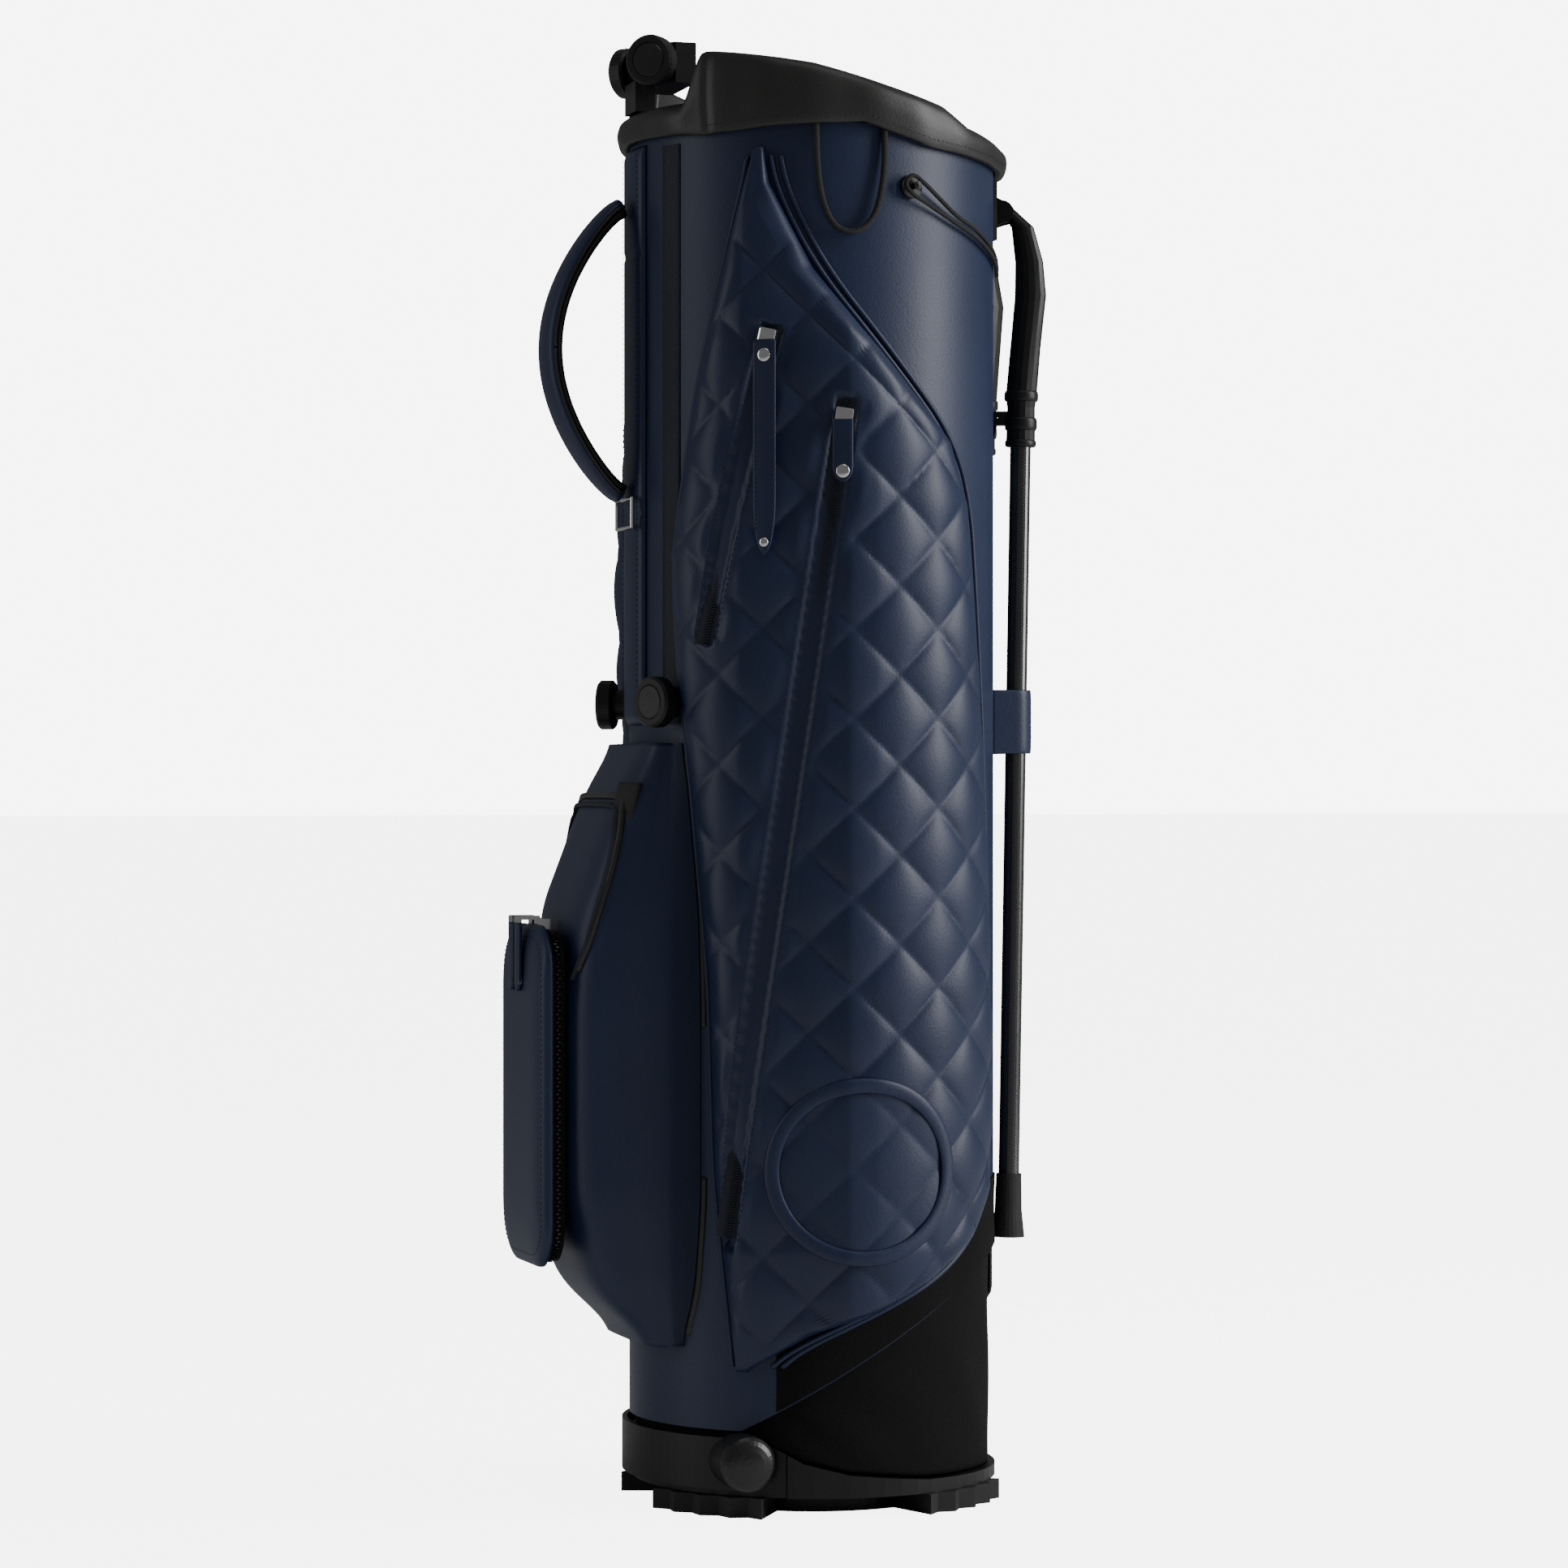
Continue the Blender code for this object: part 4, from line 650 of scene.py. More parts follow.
TAPE_ANGLES = (-66.0, -114.0)
tapes = []
for middle in TAPE_ANGLES:
    offs = np.linspace(-4.2, 4.2, 26)
    z = np.linspace(0.462, 0.803, 120)[:, None]
    rib = 0.0004 + 0.0009 * np.exp(-((np.abs(offs) - 3.5) / 0.45) ** 2)
    outer_face = around(middle + offs, TUBE_R + rib, z)
    inner_face = around(middle + offs, TUBE_R + 0.0001, z)[:, ::-1]
    tapes.append(tidy_skin(surface("tape", np.concatenate([outer_face, inner_face], 1), wrap_columns=True)))
fit(gather("side_tapes", tapes), navy_dark, "navy_leather", "bag")

# ------------ handle
# The carry handle is a bowed grip of two layers: navy leather outside and a soft black pad on the hand's
# side, sewn together along both edges. Each layer is an oval section carried along the bow.

HANDLE_REACH, HANDLE_TOP, HANDLE_TALL = 0.043, 0.770, 0.170
t = np.linspace(0, 1, 90)
bow = np.sin(np.pi * t) ** 0.75 * HANDLE_REACH
bow_path = np.stack([-(0.1194 + bow), np.zeros(90), HANDLE_TOP - HANDLE_TALL * t], -1)
normal = np.stack([-np.gradient(bow_path[:, 2]), np.zeros(90), np.gradient(bow_path[:, 0])], -1)
normal /= -np.linalg.norm(normal, axis=1, keepdims=True)
swell = 1 - 0.35 * np.abs(2 * t - 1) ** 6
outside = (-1, 0, 0)
outer_layer = sweep("handle_leather", bow_path + normal * 0.0020, 0.030 * swell, 0.0080, outside, sides=28)
fit(outer_layer, navy, "navy_leather", "bag", "carry_handle")
inner_layer = sweep("handle_pad", bow_path - normal * 0.0022, 0.0265 * swell, 0.0078, outside, sides=28)
fit(inner_layer, cuff_black, "black_leather", "bag")
edges = [bow_path + normal * 0.0005 + np.array([0, side * 0.0146, 0]) * swell[:, None] for side in (-1, 1)]
piping = [sweep("edge", edge, 0.0022, sides=8) for edge in edges]
fit(gather("handle_piping", piping), cuff_black, "black_leather", "bag")
steel = finish("polished_steel", scuff, (0.62, 0.62, 0.63), (0.74, 0.74, 0.75), 0.10, 0.24,
               0.03, 0.0001, metallic=1.0)
dress(steel, "handle_ring")

# ------------ harness buckles
# Round quick-release buckles of satin black plastic: two low beside the spine, two on a hub in the cuff's
# notch. Each has a push button, and the frame has their shapes.

dress(moulded, "harness_hub", "cord_anchor")
dress(moulded, "buckle_low_near", "buckle_low_far", "buckle_top_near", "buckle_top_far")
dress(gloss_dome, "button_low_near", "button_low_far", "button_top_near", "button_top_far")

# ------------ side pockets
# A full-height pocket on each side has a face of quilted navy leather, padded and stitched in diamonds 50 mm
# wide and 52 mm tall. A zip band crosses it, a plain sewn ring sits low, and piping runs round its edge.

POCKET_LOW, POCKET_TALL = 0.085, 0.715
ROUND_R = 0.118  # a degree of the face is measured as an arc of this radius
POCKET_REAR = ((0.085, 0.20, 0.315, 0.42, 0.50, 0.56, 0.66, 0.80), (-40, -47, -49, -55, -61, -63, -53, -34))
POCKET_FRONT = (
    (0.085, 0.087, 0.108, 0.120, 0.138, 0.162, 0.190, 0.264, 0.360, 0.458, 0.529, 0.590, 0.627, 0.655,
     0.693, 0.726, 0.776, 0.80),
    (-37, -36, -17, 2, 21, 39, 49, 51, 48, 44, 40, 36, 28, 14, -3, -17, -30, -32),
)
FACET_AT, FACET_TURN = 0.126, -21.8
QUILT_WIDE, QUILT_TALL, QUILT_DEPTH = 0.050, 0.052, 0.0034
QUILT_SHIFTS = (0.31, 0.18)
GROOVE_HALF, GROOVE_DEPTH, SLIDER_ROOM = 0.0072, 0.0032, 0.0042
ZIP_ENDS = {"long": ((-8.5, 0.6440), (-40.5, 0.1710)), "short": ((-28.0, 0.6900), (-46.0, 0.5140))}
RING_ANGLE, RING_HEIGHT, RING_R = -3.5, 0.203, 0.0500


def pocket_face(angle, height):
    """Distance of the face from the axis: a flat facet to the rear, crowned in front, thin at its edges."""
    rear, front = np.interp(height, *POCKET_REAR), np.interp(height, *POCKET_FRONT)
    share = np.clip((angle - rear) / np.maximum(front - rear, 1e-6), 0, 1)
    along = np.clip((height - POCKET_LOW) / POCKET_TALL, 0, 1)
    ends = np.minimum(1, along / 0.10) ** 0.6 * np.minimum(1, (1 - along) / 0.16) ** 0.6
    edges = (1 - np.abs(2 * share - 1) ** 6) ** 0.7
    facet = FACET_AT / np.maximum(0.4, np.cos(np.radians(angle - FACET_TURN)))
    crown = TUBE_R + 0.0200 * (1 - 0.45 * np.maximum(0, np.sin(np.radians(angle))))
    return TUBE_R + 0.0035 + (np.minimum(facet, crown) - TUBE_R - 0.0035) * ends * edges


def on_facet(angle):
    """How far along the flat facet this angle lies, where a zip is a straight line."""
    return FACET_AT * np.tan(np.radians(np.clip(angle - FACET_TURN, -70, 70)))


def from_zip(angle, height, which):
    """Signed distance across a zip, and the share along it."""
    (first, top), (last, bottom) = ZIP_ENDS[which]
    start, end = np.array([on_facet(first), top]), np.array([on_facet(last), bottom])
    run = end - start
    length = np.linalg.norm(run)
    run = run / length
    x, z = on_facet(angle) - start[0], height - start[1]
    return x * run[1] - z * run[0], (x * run[0] + z * run[1]) / length


def quilt_lines(angle, height):
    """The two diagonal coordinates of the quilting. Stitches run where either is a whole number."""
    run = ROUND_R * np.radians(angle) / QUILT_WIDE
    return tuple(run + sign * height / QUILT_TALL + shift for sign, shift in zip((1, -1), QUILT_SHIFTS))


def ring_distance(angle, height):
    """How far a point of the face lies from the middle of the sewn ring."""
    return np.hypot(ROUND_R * np.radians(angle - RING_ANGLE), height - RING_HEIGHT)


def calm(angle, height, zips):
    """1 where the quilting is full, less under the sewn ring, 0 beside a zip and at the pocket's edge."""
    rear, front = np.interp(height, *POCKET_REAR), np.interp(height, *POCKET_FRONT)
    to_edge = ROUND_R * np.radians(np.minimum(angle - rear, front - angle))
    full = np.clip((to_edge - 0.003) / 0.010, 0, 1) * np.clip((height - 0.095) / 0.02, 0, 1)
    for which in zips:
        across, along = from_zip(angle, height, which)
        beyond = np.maximum(0, np.maximum(-along, along - 1)) * 0.4
        near = np.hypot(np.maximum(0, np.abs(across) - 0.0100), beyond)
        full = full * np.clip(near / 0.006, 0, 1)
    return full * (1 - 0.55 * np.clip((RING_R + 0.004 - ring_distance(angle, height)) / 0.006, 0, 1))


def quilted_face(angle, height, zips):
    """The padded face: each diamond rises as sin times sin to the power 0.45. A zip lies in a groove."""
    first, second = quilt_lines(angle, height)
    puff = (np.abs(np.sin(np.pi * first)) * np.abs(np.sin(np.pi * second))) ** 0.45
    radius = pocket_face(angle, height) + QUILT_DEPTH * (puff - 0.45) * calm(angle, height, zips)
    for which in zips:
        across, along = from_zip(angle, height, which)
        inside = np.clip((GROOVE_HALF - np.abs(across)) / 0.0016, 0, 1)
        inside = inside * np.clip((along + 0.020) / 0.01, 0, 1) * np.clip((1.035 - along) / 0.01, 0, 1)
        depth = GROOVE_DEPTH + SLIDER_ROOM * np.clip((along - 0.90) / 0.04, 0, 1)
        radius = radius - depth * inside * inside * (3 - 2 * inside)
    return np.maximum(radius, TUBE_R + 0.0012)


def quilt_stitch_rows(side, zips):
    """The stitch lines: whole-number lines of both diagonals, kept where the quilting is full."""
    rows = []
    z = np.linspace(0.10, 0.78, 900)
    for sign, shift in zip((1, -1), QUILT_SHIFTS):
        for number in range(-18, 20):
            angle = np.degrees((number - shift - sign * z / QUILT_TALL) * QUILT_WIDE / ROUND_R)
            rear, front = np.interp(z, *POCKET_REAR), np.interp(z, *POCKET_FRONT)
            keep = (angle > rear + 2) & (angle < front - 2)
            keep &= (calm(angle, z, zips) > 0.35) & (ring_distance(angle, z) > RING_R + 0.006)
            edges_of = np.flatnonzero(np.diff(np.concatenate([[0], keep.astype(int), [0]])))
            for begin, end in zip(edges_of[::2], edges_of[1::2]):
                if end - begin > 6:
                    part = slice(begin, end)
                    row = around(angle[part], quilted_face(angle[part], z[part], zips), z[part])
                    rows.append(row * np.array([1, side, 1]))
    return rows


def capped(shell):
    """Closes the two open ends of a shell, each with a fan to the middle of its last row."""
    low, high = (np.repeat(row.mean(0, keepdims=True), len(row), 0)[None] for row in (shell[0], shell[-1]))
    return np.concatenate([low, shell, high])


for label, side, zips in (("near", 1, ("long", "short")), ("far", -1, ("long",))):
    mirror = np.array([1, side, 1])
    z = POCKET_LOW + 0.712 * np.linspace(0, 1, 420)[:, None]
    share = np.linspace(0, 1, 116)[None, :]
    rear, front = np.interp(z, *POCKET_REAR), np.interp(z, *POCKET_FRONT)
    angle = rear + (front - rear) * share
    face = around(angle, quilted_face(angle, z, zips), z)
    back_share = np.linspace(1, 0, 20)[None, :]
    back = around(rear + (front - rear) * back_share, TUBE_R + 0.0010, z)
    shell = capped(np.concatenate([face, back], 1)) * mirror
    panel = tidy_skin(surface(f"pocket_panel_{label}", shell, wrap_columns=True))
    fit(panel, navy, "navy_leather", "bag", f"side_pocket_{label}")
    rows = quilt_stitch_rows(side, zips)
    for which in zips:
        (first, top), (last, bottom) = ZIP_ENDS[which]
        for aside_by in (-0.0092, 0.0092):
            t = np.linspace(-0.01, 1.02, 200)
            along = on_facet(first) + (on_facet(last) - on_facet(first)) * t + aside_by
            height = top + (bottom - top) * t
            angle = np.degrees(np.arctan(along / FACET_AT)) + FACET_TURN
            rows.append(around(angle, quilted_face(angle, height, zips), height) * mirror)
    thread = stitches(f"quilt_stitches_{label}", rows, straight_off)
    fit(thread, thread_navy, "navy_leather", "bag")
    turn = np.linspace(0, 2 * np.pi, 160, endpoint=False)
    ring_angle = RING_ANGLE + np.degrees(RING_R * np.cos(turn) / ROUND_R)
    ring_z = RING_HEIGHT + RING_R * np.sin(turn)
    ring_path = around(ring_angle, pocket_face(ring_angle, ring_z) + 0.0012, ring_z) * mirror
    ring = sweep(f"sewn_ring_{label}", ring_path, 0.0090, 0.0030, straight_off(ring_path), 12, closed=True)
    fit(ring, navy, "navy_leather", "bag")
    edge_z = np.linspace(0.088, 0.792, 220)
    pipes = []
    for table, outward, lift in (
        (POCKET_REAR, -1.2, 0.0016), (POCKET_FRONT, 1.2, 0.0016), (POCKET_FRONT, 4.2, 0.0010),
    ):
        edge_angle = np.interp(edge_z, *table) + outward
        smooth = np.convolve(np.pad(edge_angle, 6, mode="edge"), np.ones(13) / 13, "valid")
        path = around(smooth, TUBE_R + lift, edge_z) * mirror
        pipes.append(sweep("pipe", even_steps(path, 260), 0.0032, sides=10))
    seam_z = np.linspace(0.790, 0.8085, 12)
    pipes.append(sweep("pipe", around(-35.2, TUBE_R + 0.0012, seam_z) * mirror, 0.0032, sides=10))
    fit(gather(f"pocket_piping_{label}", pipes), navy, "navy_leather", "bag")

# ------------ zips
# Coil zips in navy: a woven tape on each side of a row of teeth, with a steel slider. The pulls are leather
# straps with a stud. They lie along the straight line of each zip in the pocket's face.


def zip_line(side, which):
    """Start, end and the three directions of a zip: along it, off the face and across."""
    ends = [around(angle, pocket_face(angle, height), height) * np.array([1, side, 1])
            for angle, height in ZIP_ENDS[which]]
    along = (ends[1] - ends[0]) / np.linalg.norm(ends[1] - ends[0])
    off = (ends[0] + ends[1]) / 2 * np.array([1, 1, 0])
    off = off - along * off.dot(along)
    off /= np.linalg.norm(off)
    return ends[0], ends[1], along, off, np.cross(off, along)


def small_boxes(name, centres, axes, size):
    """Many equal boxes at these centres, each turned to the three axes."""
    signs = np.array([[x, y, z] for x in (-1, 1) for y in (-1, 1) for z in (-1, 1)], float) / 2
    corners = (signs * np.array(size)) @ np.array(axes)
    points = (centres[:, None] + corners[None]).reshape(-1, 3)
    faces = np.array([[0, 1, 3, 2], [4, 6, 7, 5], [0, 4, 5, 1], [2, 3, 7, 6], [0, 2, 6, 4], [1, 5, 7, 3]])
    faces = (faces[None] + 8 * np.arange(len(centres))[:, None, None]).reshape(-1, 4)
    return tidy_skin(mesh_of(name, points, faces), 1e-7, sharp=30)


def strap(name, origin, down, across, off, length, width, thick):
    """A flat strap. Towards its round lower end the half width is the root of 1 minus share to the 2.2."""
    share = np.linspace(0, 1, 40)
    half = width / 2 * np.sqrt(np.clip(1 - np.clip((share - 0.72) / 0.28, 0, 1) ** 2.2, 0.0004, 1))
    turn = np.linspace(0, 2 * np.pi, 16, endpoint=False)
    ring_x = np.sign(np.cos(turn)) * np.abs(np.cos(turn)) ** 0.4
    ring_y = np.sign(np.sin(turn)) * np.abs(np.sin(turn)) ** 0.7
    centre = origin + down * (share * length)[:, None]
    rings = centre[:, None] + across * (half[:, None] * ring_x)[..., None]
    rings = rings + off * (thick / 2 * ring_y)[None, :, None]
    rings = np.concatenate([np.repeat(centre[:1, None], 16, 1), rings, np.repeat(centre[-1:, None], 16, 1)])
    return tidy_skin(surface(name, rings, wrap_columns=True), 1e-6)


def stud(name, centre, off, radius):
    """A domed rivet head: a profile of radius cos and height sin, turned round the direction off."""
    t = np.linspace(0, np.pi / 2, 8)
    profile = [(0, -0.0006), (radius, -0.0006), *zip(radius * np.cos(t), 0.0011 * np.sin(t))]
    first = np.cross(off, [0, 0, 1.0])
    first /= np.linalg.norm(first)
    second = np.cross(off, first)
    turn = np.linspace(0, 2 * np.pi, 24, endpoint=False)[:, None]
    rows = [centre + off * h + (first * np.cos(turn) + second * np.sin(turn)) * r for r, h in profile]
    return tidy_skin(surface(name, np.array(rows), wrap_columns=True), 1e-6, sharp=40)


TOOTH_PITCH, TOOTH = 0.0016, (0.0021, 0.0011, 0.0009)
TAPE_WIDE, TAPE_THICK = 0.0128, 0.0005
dress(steel, "long_slider_near", "short_slider_near", "long_slider_far")
for label, side, which in (("near", 1, "long"), ("near", 1, "short"), ("far", -1, "long")):
    start, end, along, off, across = zip_line(side, which)
    length = np.linalg.norm(end - start) + 0.014
    begin = start - along * 0.007
    bed = begin - off * 0.0016
    axes = (across, off, along)
    steps_along = np.linspace(0, length, int(length / TOOTH_PITCH))[:, None] * along
    rows = [bed + steps_along + across * s * 0.0011 + along * (0.0004 * s) for s in (-1, 1)]
    teeth = [small_boxes("teeth", row, axes, TOOTH) for row in rows]
    middle = (bed - off * 0.0006 + along * length / 2)[None]
    tape = small_boxes("tape", middle, axes, (TAPE_WIDE, TAPE_THICK, length))
    body = gather(f"{which}_zip_teeth_{label}", teeth + [tape])
    fit(body, navy_dark, "navy_leather", "bag", f"{which}_zip_{label}")
    hinge = start + along * 0.007 + off * 0.0074
    level = off * np.array([1, 1, 0])
    level /= np.linalg.norm(level)
    down = np.array([0, 0, -1.0])
    sideways = np.cross(level, down)
    pull_long, pull_wide = {"long": (0.0362, 0.012), "short": (0.1242, 0.014)}[which]
    rides_on = f"pull_{which}_{label}"
    name = f"{which}_pull_strap_{label}"
    leather = strap(name, hinge, down, sideways, level, pull_long, pull_wide, 0.0019)
    fit(leather, navy, "navy_leather", rides_on, f"{which}_pull_{label}")
    drops = (0.030,) if which == "long" else (0.009, 0.117)
    studs = [stud("stud", hinge + down * drop + level * 0.0010, level, 0.0040 if drop < 0.05 else 0.0028)
             for drop in drops]
    fit(gather(f"{which}_pull_studs_{label}", studs), steel, "steel", rides_on)
    seam_t = np.linspace(0.006, pull_long - (0.012 if which == "long" else 0.014), 30)[:, None]
    inward = pull_wide / 2 - 0.0018
    seams = [hinge + down * seam_t + sideways * s * inward + level * 0.0009 for s in (-1, 1)]
    seams = stitches(f"{which}_pull_stitches_{label}", seams, lambda p: np.broadcast_to(level, p.shape),
                     pitch=0.0026, length=0.0017)
    fit(seams, thread_navy, "navy_leather", rides_on)

for label, side in (("far", -1), ("near", 1)):
    mirror = np.array([1, side, 1])
    metal = []
    for height, size in ((0.7350, 0.0042), (0.7820, 0.0052)):
        centre = around(70.0, 0.1064 + 0.0007, height) * mirror
        out = around(70.0, 1.0, 0.0) * mirror
        metal.append(stud("stud", centre, out, size))
    fit(gather(f"tube_snaps_{label}", metal), steel, "steel", "bag")

# ------------ ball pocket
# The big lower pocket on the spine side is a soft box of navy leather, full in the middle and drawn in at
# both ends. Black piping runs along its zip's arch and where it meets the tube. A rubber tag hangs on it.

BALL_LOW, BALL_TOP, BALL_HALF, BALL_DEPTH, BALL_POWER = 0.096, 0.452, 0.066, 0.055, 0.42
BALL_SHARES = (0.000, 0.035, 0.095, 0.24, 0.57, 0.72, 0.905, 1.0)
BALL_REACHES = (0.08, 0.28, 0.72, 1.0, 1.0, 0.90, 0.44, 0.08)


def ball_outline(turn, height):
    """Points of the pocket at these turns, from the near side (0) over the front (90) to the far side (180).
    The outline is a box with soft corners: half width times cos, and depth times sin, each to a power."""
    share = (np.asarray(height) - BALL_LOW) / (BALL_TOP - BALL_LOW)
    fine = np.linspace(0, 1, 400)
    reaches = np.pad(np.interp(fine, BALL_SHARES, BALL_REACHES), 14, mode="edge")
    reach = np.interp(share, fine, np.convolve(reaches, np.ones(29) / 29, "valid"))
    half = BALL_HALF * (0.80 + 0.20 * np.minimum(1, reach))
    root = np.sqrt(0.1106**2 - half**2)
    depth = TUBE_R + BALL_DEPTH * reach - root
    angle = np.radians(turn)
    across = np.abs(np.cos(angle)) ** BALL_POWER * np.sign(np.cos(angle))
    ahead_by = np.abs(np.sin(angle)) ** BALL_POWER
    sag = 1 + 0.012 * np.sin(share * 9 + angle * 3)
    x, y, z = np.broadcast_arrays(-(root + depth * ahead_by * np.minimum(sag, 1)), -half * across, height)
    return np.stack([x, y, z], -1)


heights = np.linspace(BALL_LOW + 0.001, BALL_TOP - 0.001, 150)[:, None]
turns = np.degrees(np.arccos(np.clip(np.linspace(1, -1, 120), -1, 1)))[None, :]
face = ball_outline(turns, heights)
back_y = np.linspace(1, -1, 16)[None, :] * np.abs(face[:, :1, 1])
back = np.stack([-np.sqrt(0.1110**2 - back_y**2), back_y, np.broadcast_to(heights, back_y.shape)], -1)
shell = capped(np.concatenate([face, back], 1))
ball = tidy_skin(surface("ball_pocket_leather", shell, wrap_columns=True))
fit(ball, navy, "navy_leather", "bag", "ball_pocket")
arch_turns = (122, 136, 142, 140, 132, 120)
arch_heights = (0.318, 0.342, 0.371, 0.396, 0.411, 0.419)
turns = np.array([*(180 - np.array(arch_turns)), *arch_turns[::-1]], float)
heights = np.array([*arch_heights, *arch_heights[::-1]])
route = smooth_route(np.stack([turns, heights, heights], -1), 200)
arch = ball_outline(route[:, 0], route[:, 1]) + np.array([-0.0006, 0, 0])
edge_z = np.linspace(0.104, 0.444, 160)
pipes = [sweep("pipe", even_steps(arch, 260), 0.0040, sides=10)]
for turn_at, outward in ((0.0, -1), (180.0, 1)):
    edge = ball_outline(np.full(160, turn_at), edge_z) + np.array([0.0022, outward * 0.0012, 0])
    pipes.append(sweep("pipe", even_steps(edge, 220), 0.0044, sides=10))
fit(gather("ball_pocket_piping", pipes), cuff_black, "black_leather", "bag")
inner_arch = ball_outline(route[:, 0] + np.where(route[:, 0] < 90, 5.0, -5.0), route[:, 1] - 0.005)
inner_arch = even_steps(inner_arch + np.array([-0.0004, 0, 0]), 200)
fit(sweep("ball_pocket_zip", inner_arch, 0.0060, 0.0030), navy_dark, "navy_leather", "bag")
tag_off = np.array([-0.80, -0.60, 0.0])
tag_top = ball_outline(np.array(50.0), np.array(0.428)) + tag_off * 0.0030
tag_down, tag_across = np.array([-0.20, 0.0, -0.98]), np.array([0.60, -0.80, 0.0])
tag = strap("ball_zip_tag", tag_top, tag_down, tag_across, tag_off, 0.066, 0.016, 0.0034)
fit(tag, rubber, "rubber", "bag")

# ------------ pouch
# A small pouch stands on the ball pocket's front: a crowned panel of navy leather on a black zip wall, with
# two sliders on its top run. Each slider is steel and carries a leather strip.

POUCH_BACK, POUCH_HALF, POUCH_LOW, POUCH_TOP, POUCH_CORNER = -0.1736, 0.050, 0.143, 0.344, 0.026


def pouch_front(share):
    """How far out the panel lies, from its middle (0) to its edge (1): the root of 1 - share^7."""
    return POUCH_BACK - 0.0016 - 0.0072 * (1 - share**7) ** 0.5


def pouch_edge(inset, count):
    """The pouch's outline seen from the front: four straight sides joined by quarter circles."""
    half, low, top = POUCH_HALF - inset, POUCH_LOW + inset, POUCH_TOP - inset
    corner = POUCH_CORNER - inset
    points = []
    quarters = ((1, top, 1), (-1, top, 1), (-1, low, -1), (1, low, -1))
    for number, (y_sign, z_end, z_sign) in enumerate(quarters):
        arc = np.radians(90 * number + np.linspace(0, 90, 14))
        y = y_sign * (half - corner) + corner * np.cos(arc)
        z = z_end - z_sign * corner + corner * np.sin(arc)
        points.append(np.stack([np.zeros(14), y, z], -1))
    closed = np.concatenate(points + [points[0][:1]])
    return even_steps(closed, count + 1)[:-1]


edge = pouch_edge(0.0, 200)
middle = np.array([0, 0, (POUCH_LOW + POUCH_TOP) / 2])
shares = np.sin(np.linspace(0, np.pi / 2, 40))[:, None, None]
front = middle + (edge[None] - middle) * shares
front[..., 0:1] = pouch_front(shares)
behind = middle + (edge[None] - middle) * shares[::-1]
behind[..., 0] = POUCH_BACK
pouch = tidy_skin(surface("pouch_panel", np.concatenate([front, behind]), wrap_columns=True))
fit(pouch, navy, "navy_leather", "bag", "ball_pouch")
seam = middle + (edge - middle) * 0.93 + np.array([pouch_front(0.93), 0, 0])
off_front = np.array([-1.0, 0, 0])
seam = stitches("pouch_stitches", [seam], lambda p: np.broadcast_to(off_front, p.shape))
fit(seam, thread_navy, "navy_leather", "bag")
edge = pouch_edge(0.0034, 200)
wall = []
for x, share in ((-0.1655, 0.0), (-0.1655, 1.0), (-0.1680, 1.0), (-0.1684, 0.985), (-0.1706, 0.985),
                 (-0.1710, 1.0), (-0.1732, 1.0), (-0.1732, 0.0)):
    row = middle + (edge - middle) * share
    row[:, 0] = x
    wall.append(row)
wall = tidy_skin(surface("pouch_zip_wall", np.array(wall), wrap_columns=True), sharp=30)
fit(wall, fabric, "black_fabric", "bag", "pouch_zip")
STEPS = 460
boxes = []
edge = pouch_edge(0.0034, STEPS)
for start in range(0, STEPS, 2):
    here, after = edge[start], edge[start + 1]
    run = (after - here) / np.linalg.norm(after - here)
    outward = np.cross(run, [1.0, 0, 0])
    x = -0.1690 if start % 4 else -0.1700
    centre = (here + np.array([x, 0, 0]))[None]
    boxes.append(small_boxes("tooth", centre, (-off_front, outward, run), (0.0016, 0.0014, 0.0011)))
black_metal = finish("black_metal", scuff, (0.03, 0.03, 0.03), (0.06, 0.06, 0.06), 0.25, 0.4,
                     0.05, 0.0002, metallic=1.0)
fit(gather("pouch_zip_teeth", boxes), black_metal, "steel", "bag")
dress(steel, "pouch_slider_near", "pouch_slider_far")
for label, side in (("near", -1), ("far", 1)):
    low_corner, high_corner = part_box(f"pouch_slider_{label}")
    top = np.array([low_corner.x + 0.0011, side * 0.0075, high_corner.z - 0.004])
    to_far = np.array([0, 1.0, 0])
    strip = strap(f"pouch_strip_{label}", top, down, to_far, off_front, 0.0405, 0.0108, 0.0030)
    fit(strip, navy, "navy_leather", f"slider_pouch_{label}")

# ------------ legs
# The legs are woven carbon tubes in moulded heads, with rubber boots and bent steel push rods. Their shapes
# come from the frame. Woven carbon is two crossed waves in dark grey under lacquer.

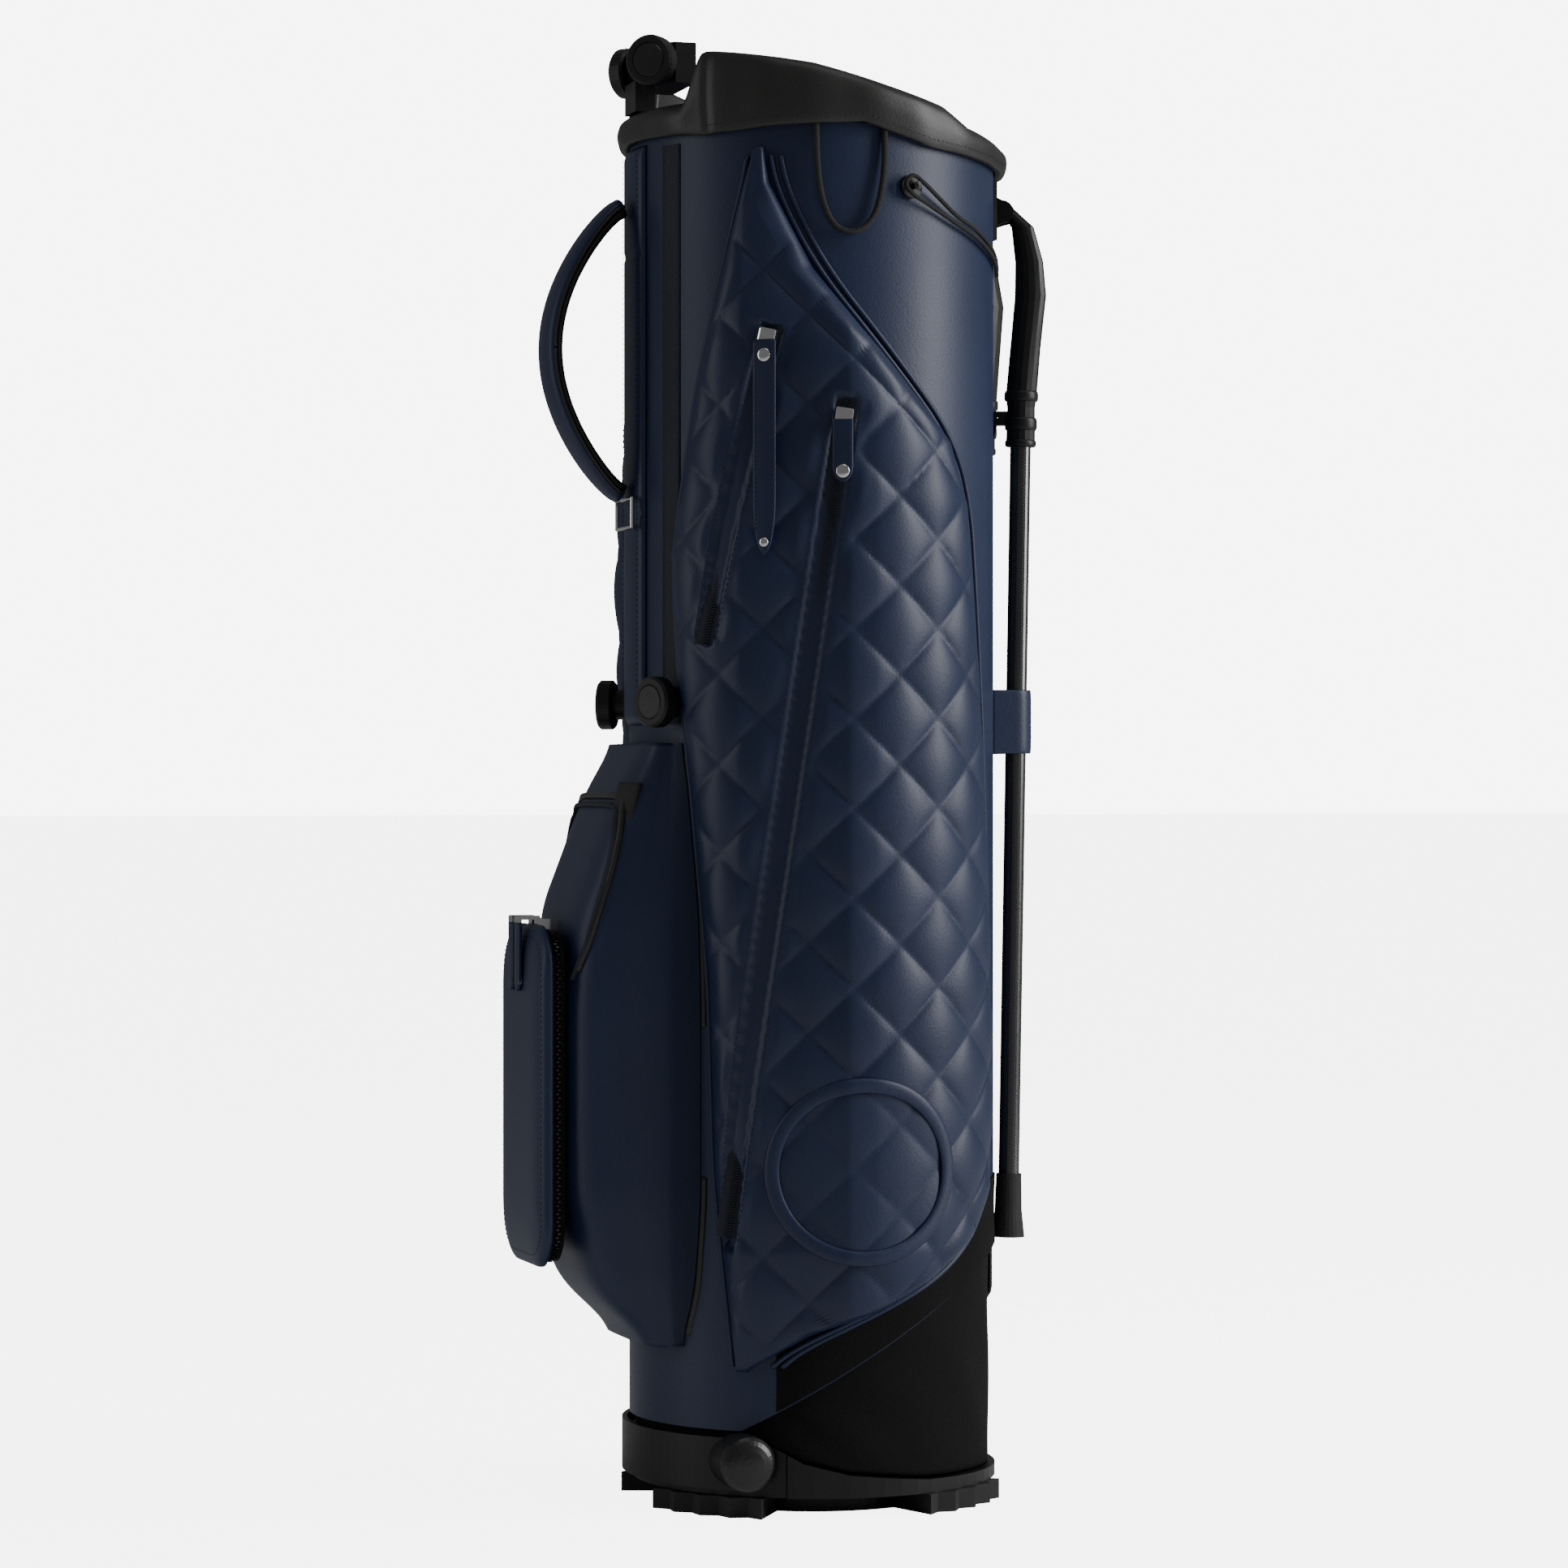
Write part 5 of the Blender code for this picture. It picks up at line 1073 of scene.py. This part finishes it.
carbon = finish("woven_carbon", weave, (0.005, 0.005, 0.006), (0.030, 0.030, 0.033), 0.22, 0.34,
                0.25, 0.0003, [("Threads", 300.0)], Coat_Weight=0.6, Coat_Roughness=0.12)
dress(carbon, "leg_tube_near", "leg_tube_far")
dress(moulded, "leg_head_near", "leg_head_far", "leg_bracket")
dress(rubber, "leg_foot_near", "leg_foot_far")
LEG_TOP, LEG_END = np.array([0.1215, 0.036, 0.668]), np.array([0.1130, 0.036, 0.170])
for label, side in (("near", -1), ("far", 1)):
    mirror = np.array([1, side, 1])
    run = (LEG_END - LEG_TOP) / np.linalg.norm(LEG_END - LEG_TOP) * mirror
    start = LEG_TOP * mirror
    collars = []
    for drop, tall, radius in ((0.004, 0.0060, 0.0103), (0.020, 0.0075, 0.0098), (0.0335, 0.0040, 0.0094)):
        share = np.linspace(0, 1, 12)
        bulge = radius - 0.0007 * np.abs(2 * share - 1) ** 4
        path = start + run * (drop + tall * share)[:, None]
        collars.append(sweep("collar", path, 2 * bulge, up=(0, 1, 0), sides=28))
    fit(gather(f"leg_collars_{label}", collars), moulded, "black_plastic", f"leg_{label}")
dress(black_metal, "push_rod_near", "push_rod_far")

# ------------ leg keeper
# A leather strap sewn to the tube goes round both folded legs. It is opened by hand before the legs swing
# out, so here it rides on the bag's body and keeps its shape as the bag tilts.

KEEPER_HEIGHT, SEWN_AT = 0.4645, 0.1006
reach, half, corner = 0.1273, 0.0428, 0.011
arc = np.radians(np.linspace(-90, 0, 14))
bend_x, bend_y = reach - corner + corner * np.cos(arc), -half + corner + corner * np.sin(arc)
first = np.stack([bend_x, bend_y, np.zeros(14)], -1)
second = (first * np.array([1, -1, 1]))[::-1]
path = np.concatenate([[[SEWN_AT, -half, 0]], first, second, [[SEWN_AT, half, 0]]])
path = even_steps(path, 120) + np.array([0, 0, KEEPER_HEIGHT])
keeper = sweep("keeper_strap", path, 0.0024, 0.0385, sides=20, power=0.35)
fit(keeper, navy, "navy_leather", "bag", "leg_keeper")
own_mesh(keeper)

# ------------ size note
size = {"cad": cad_box, "visual": [list(corner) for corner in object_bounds()]}
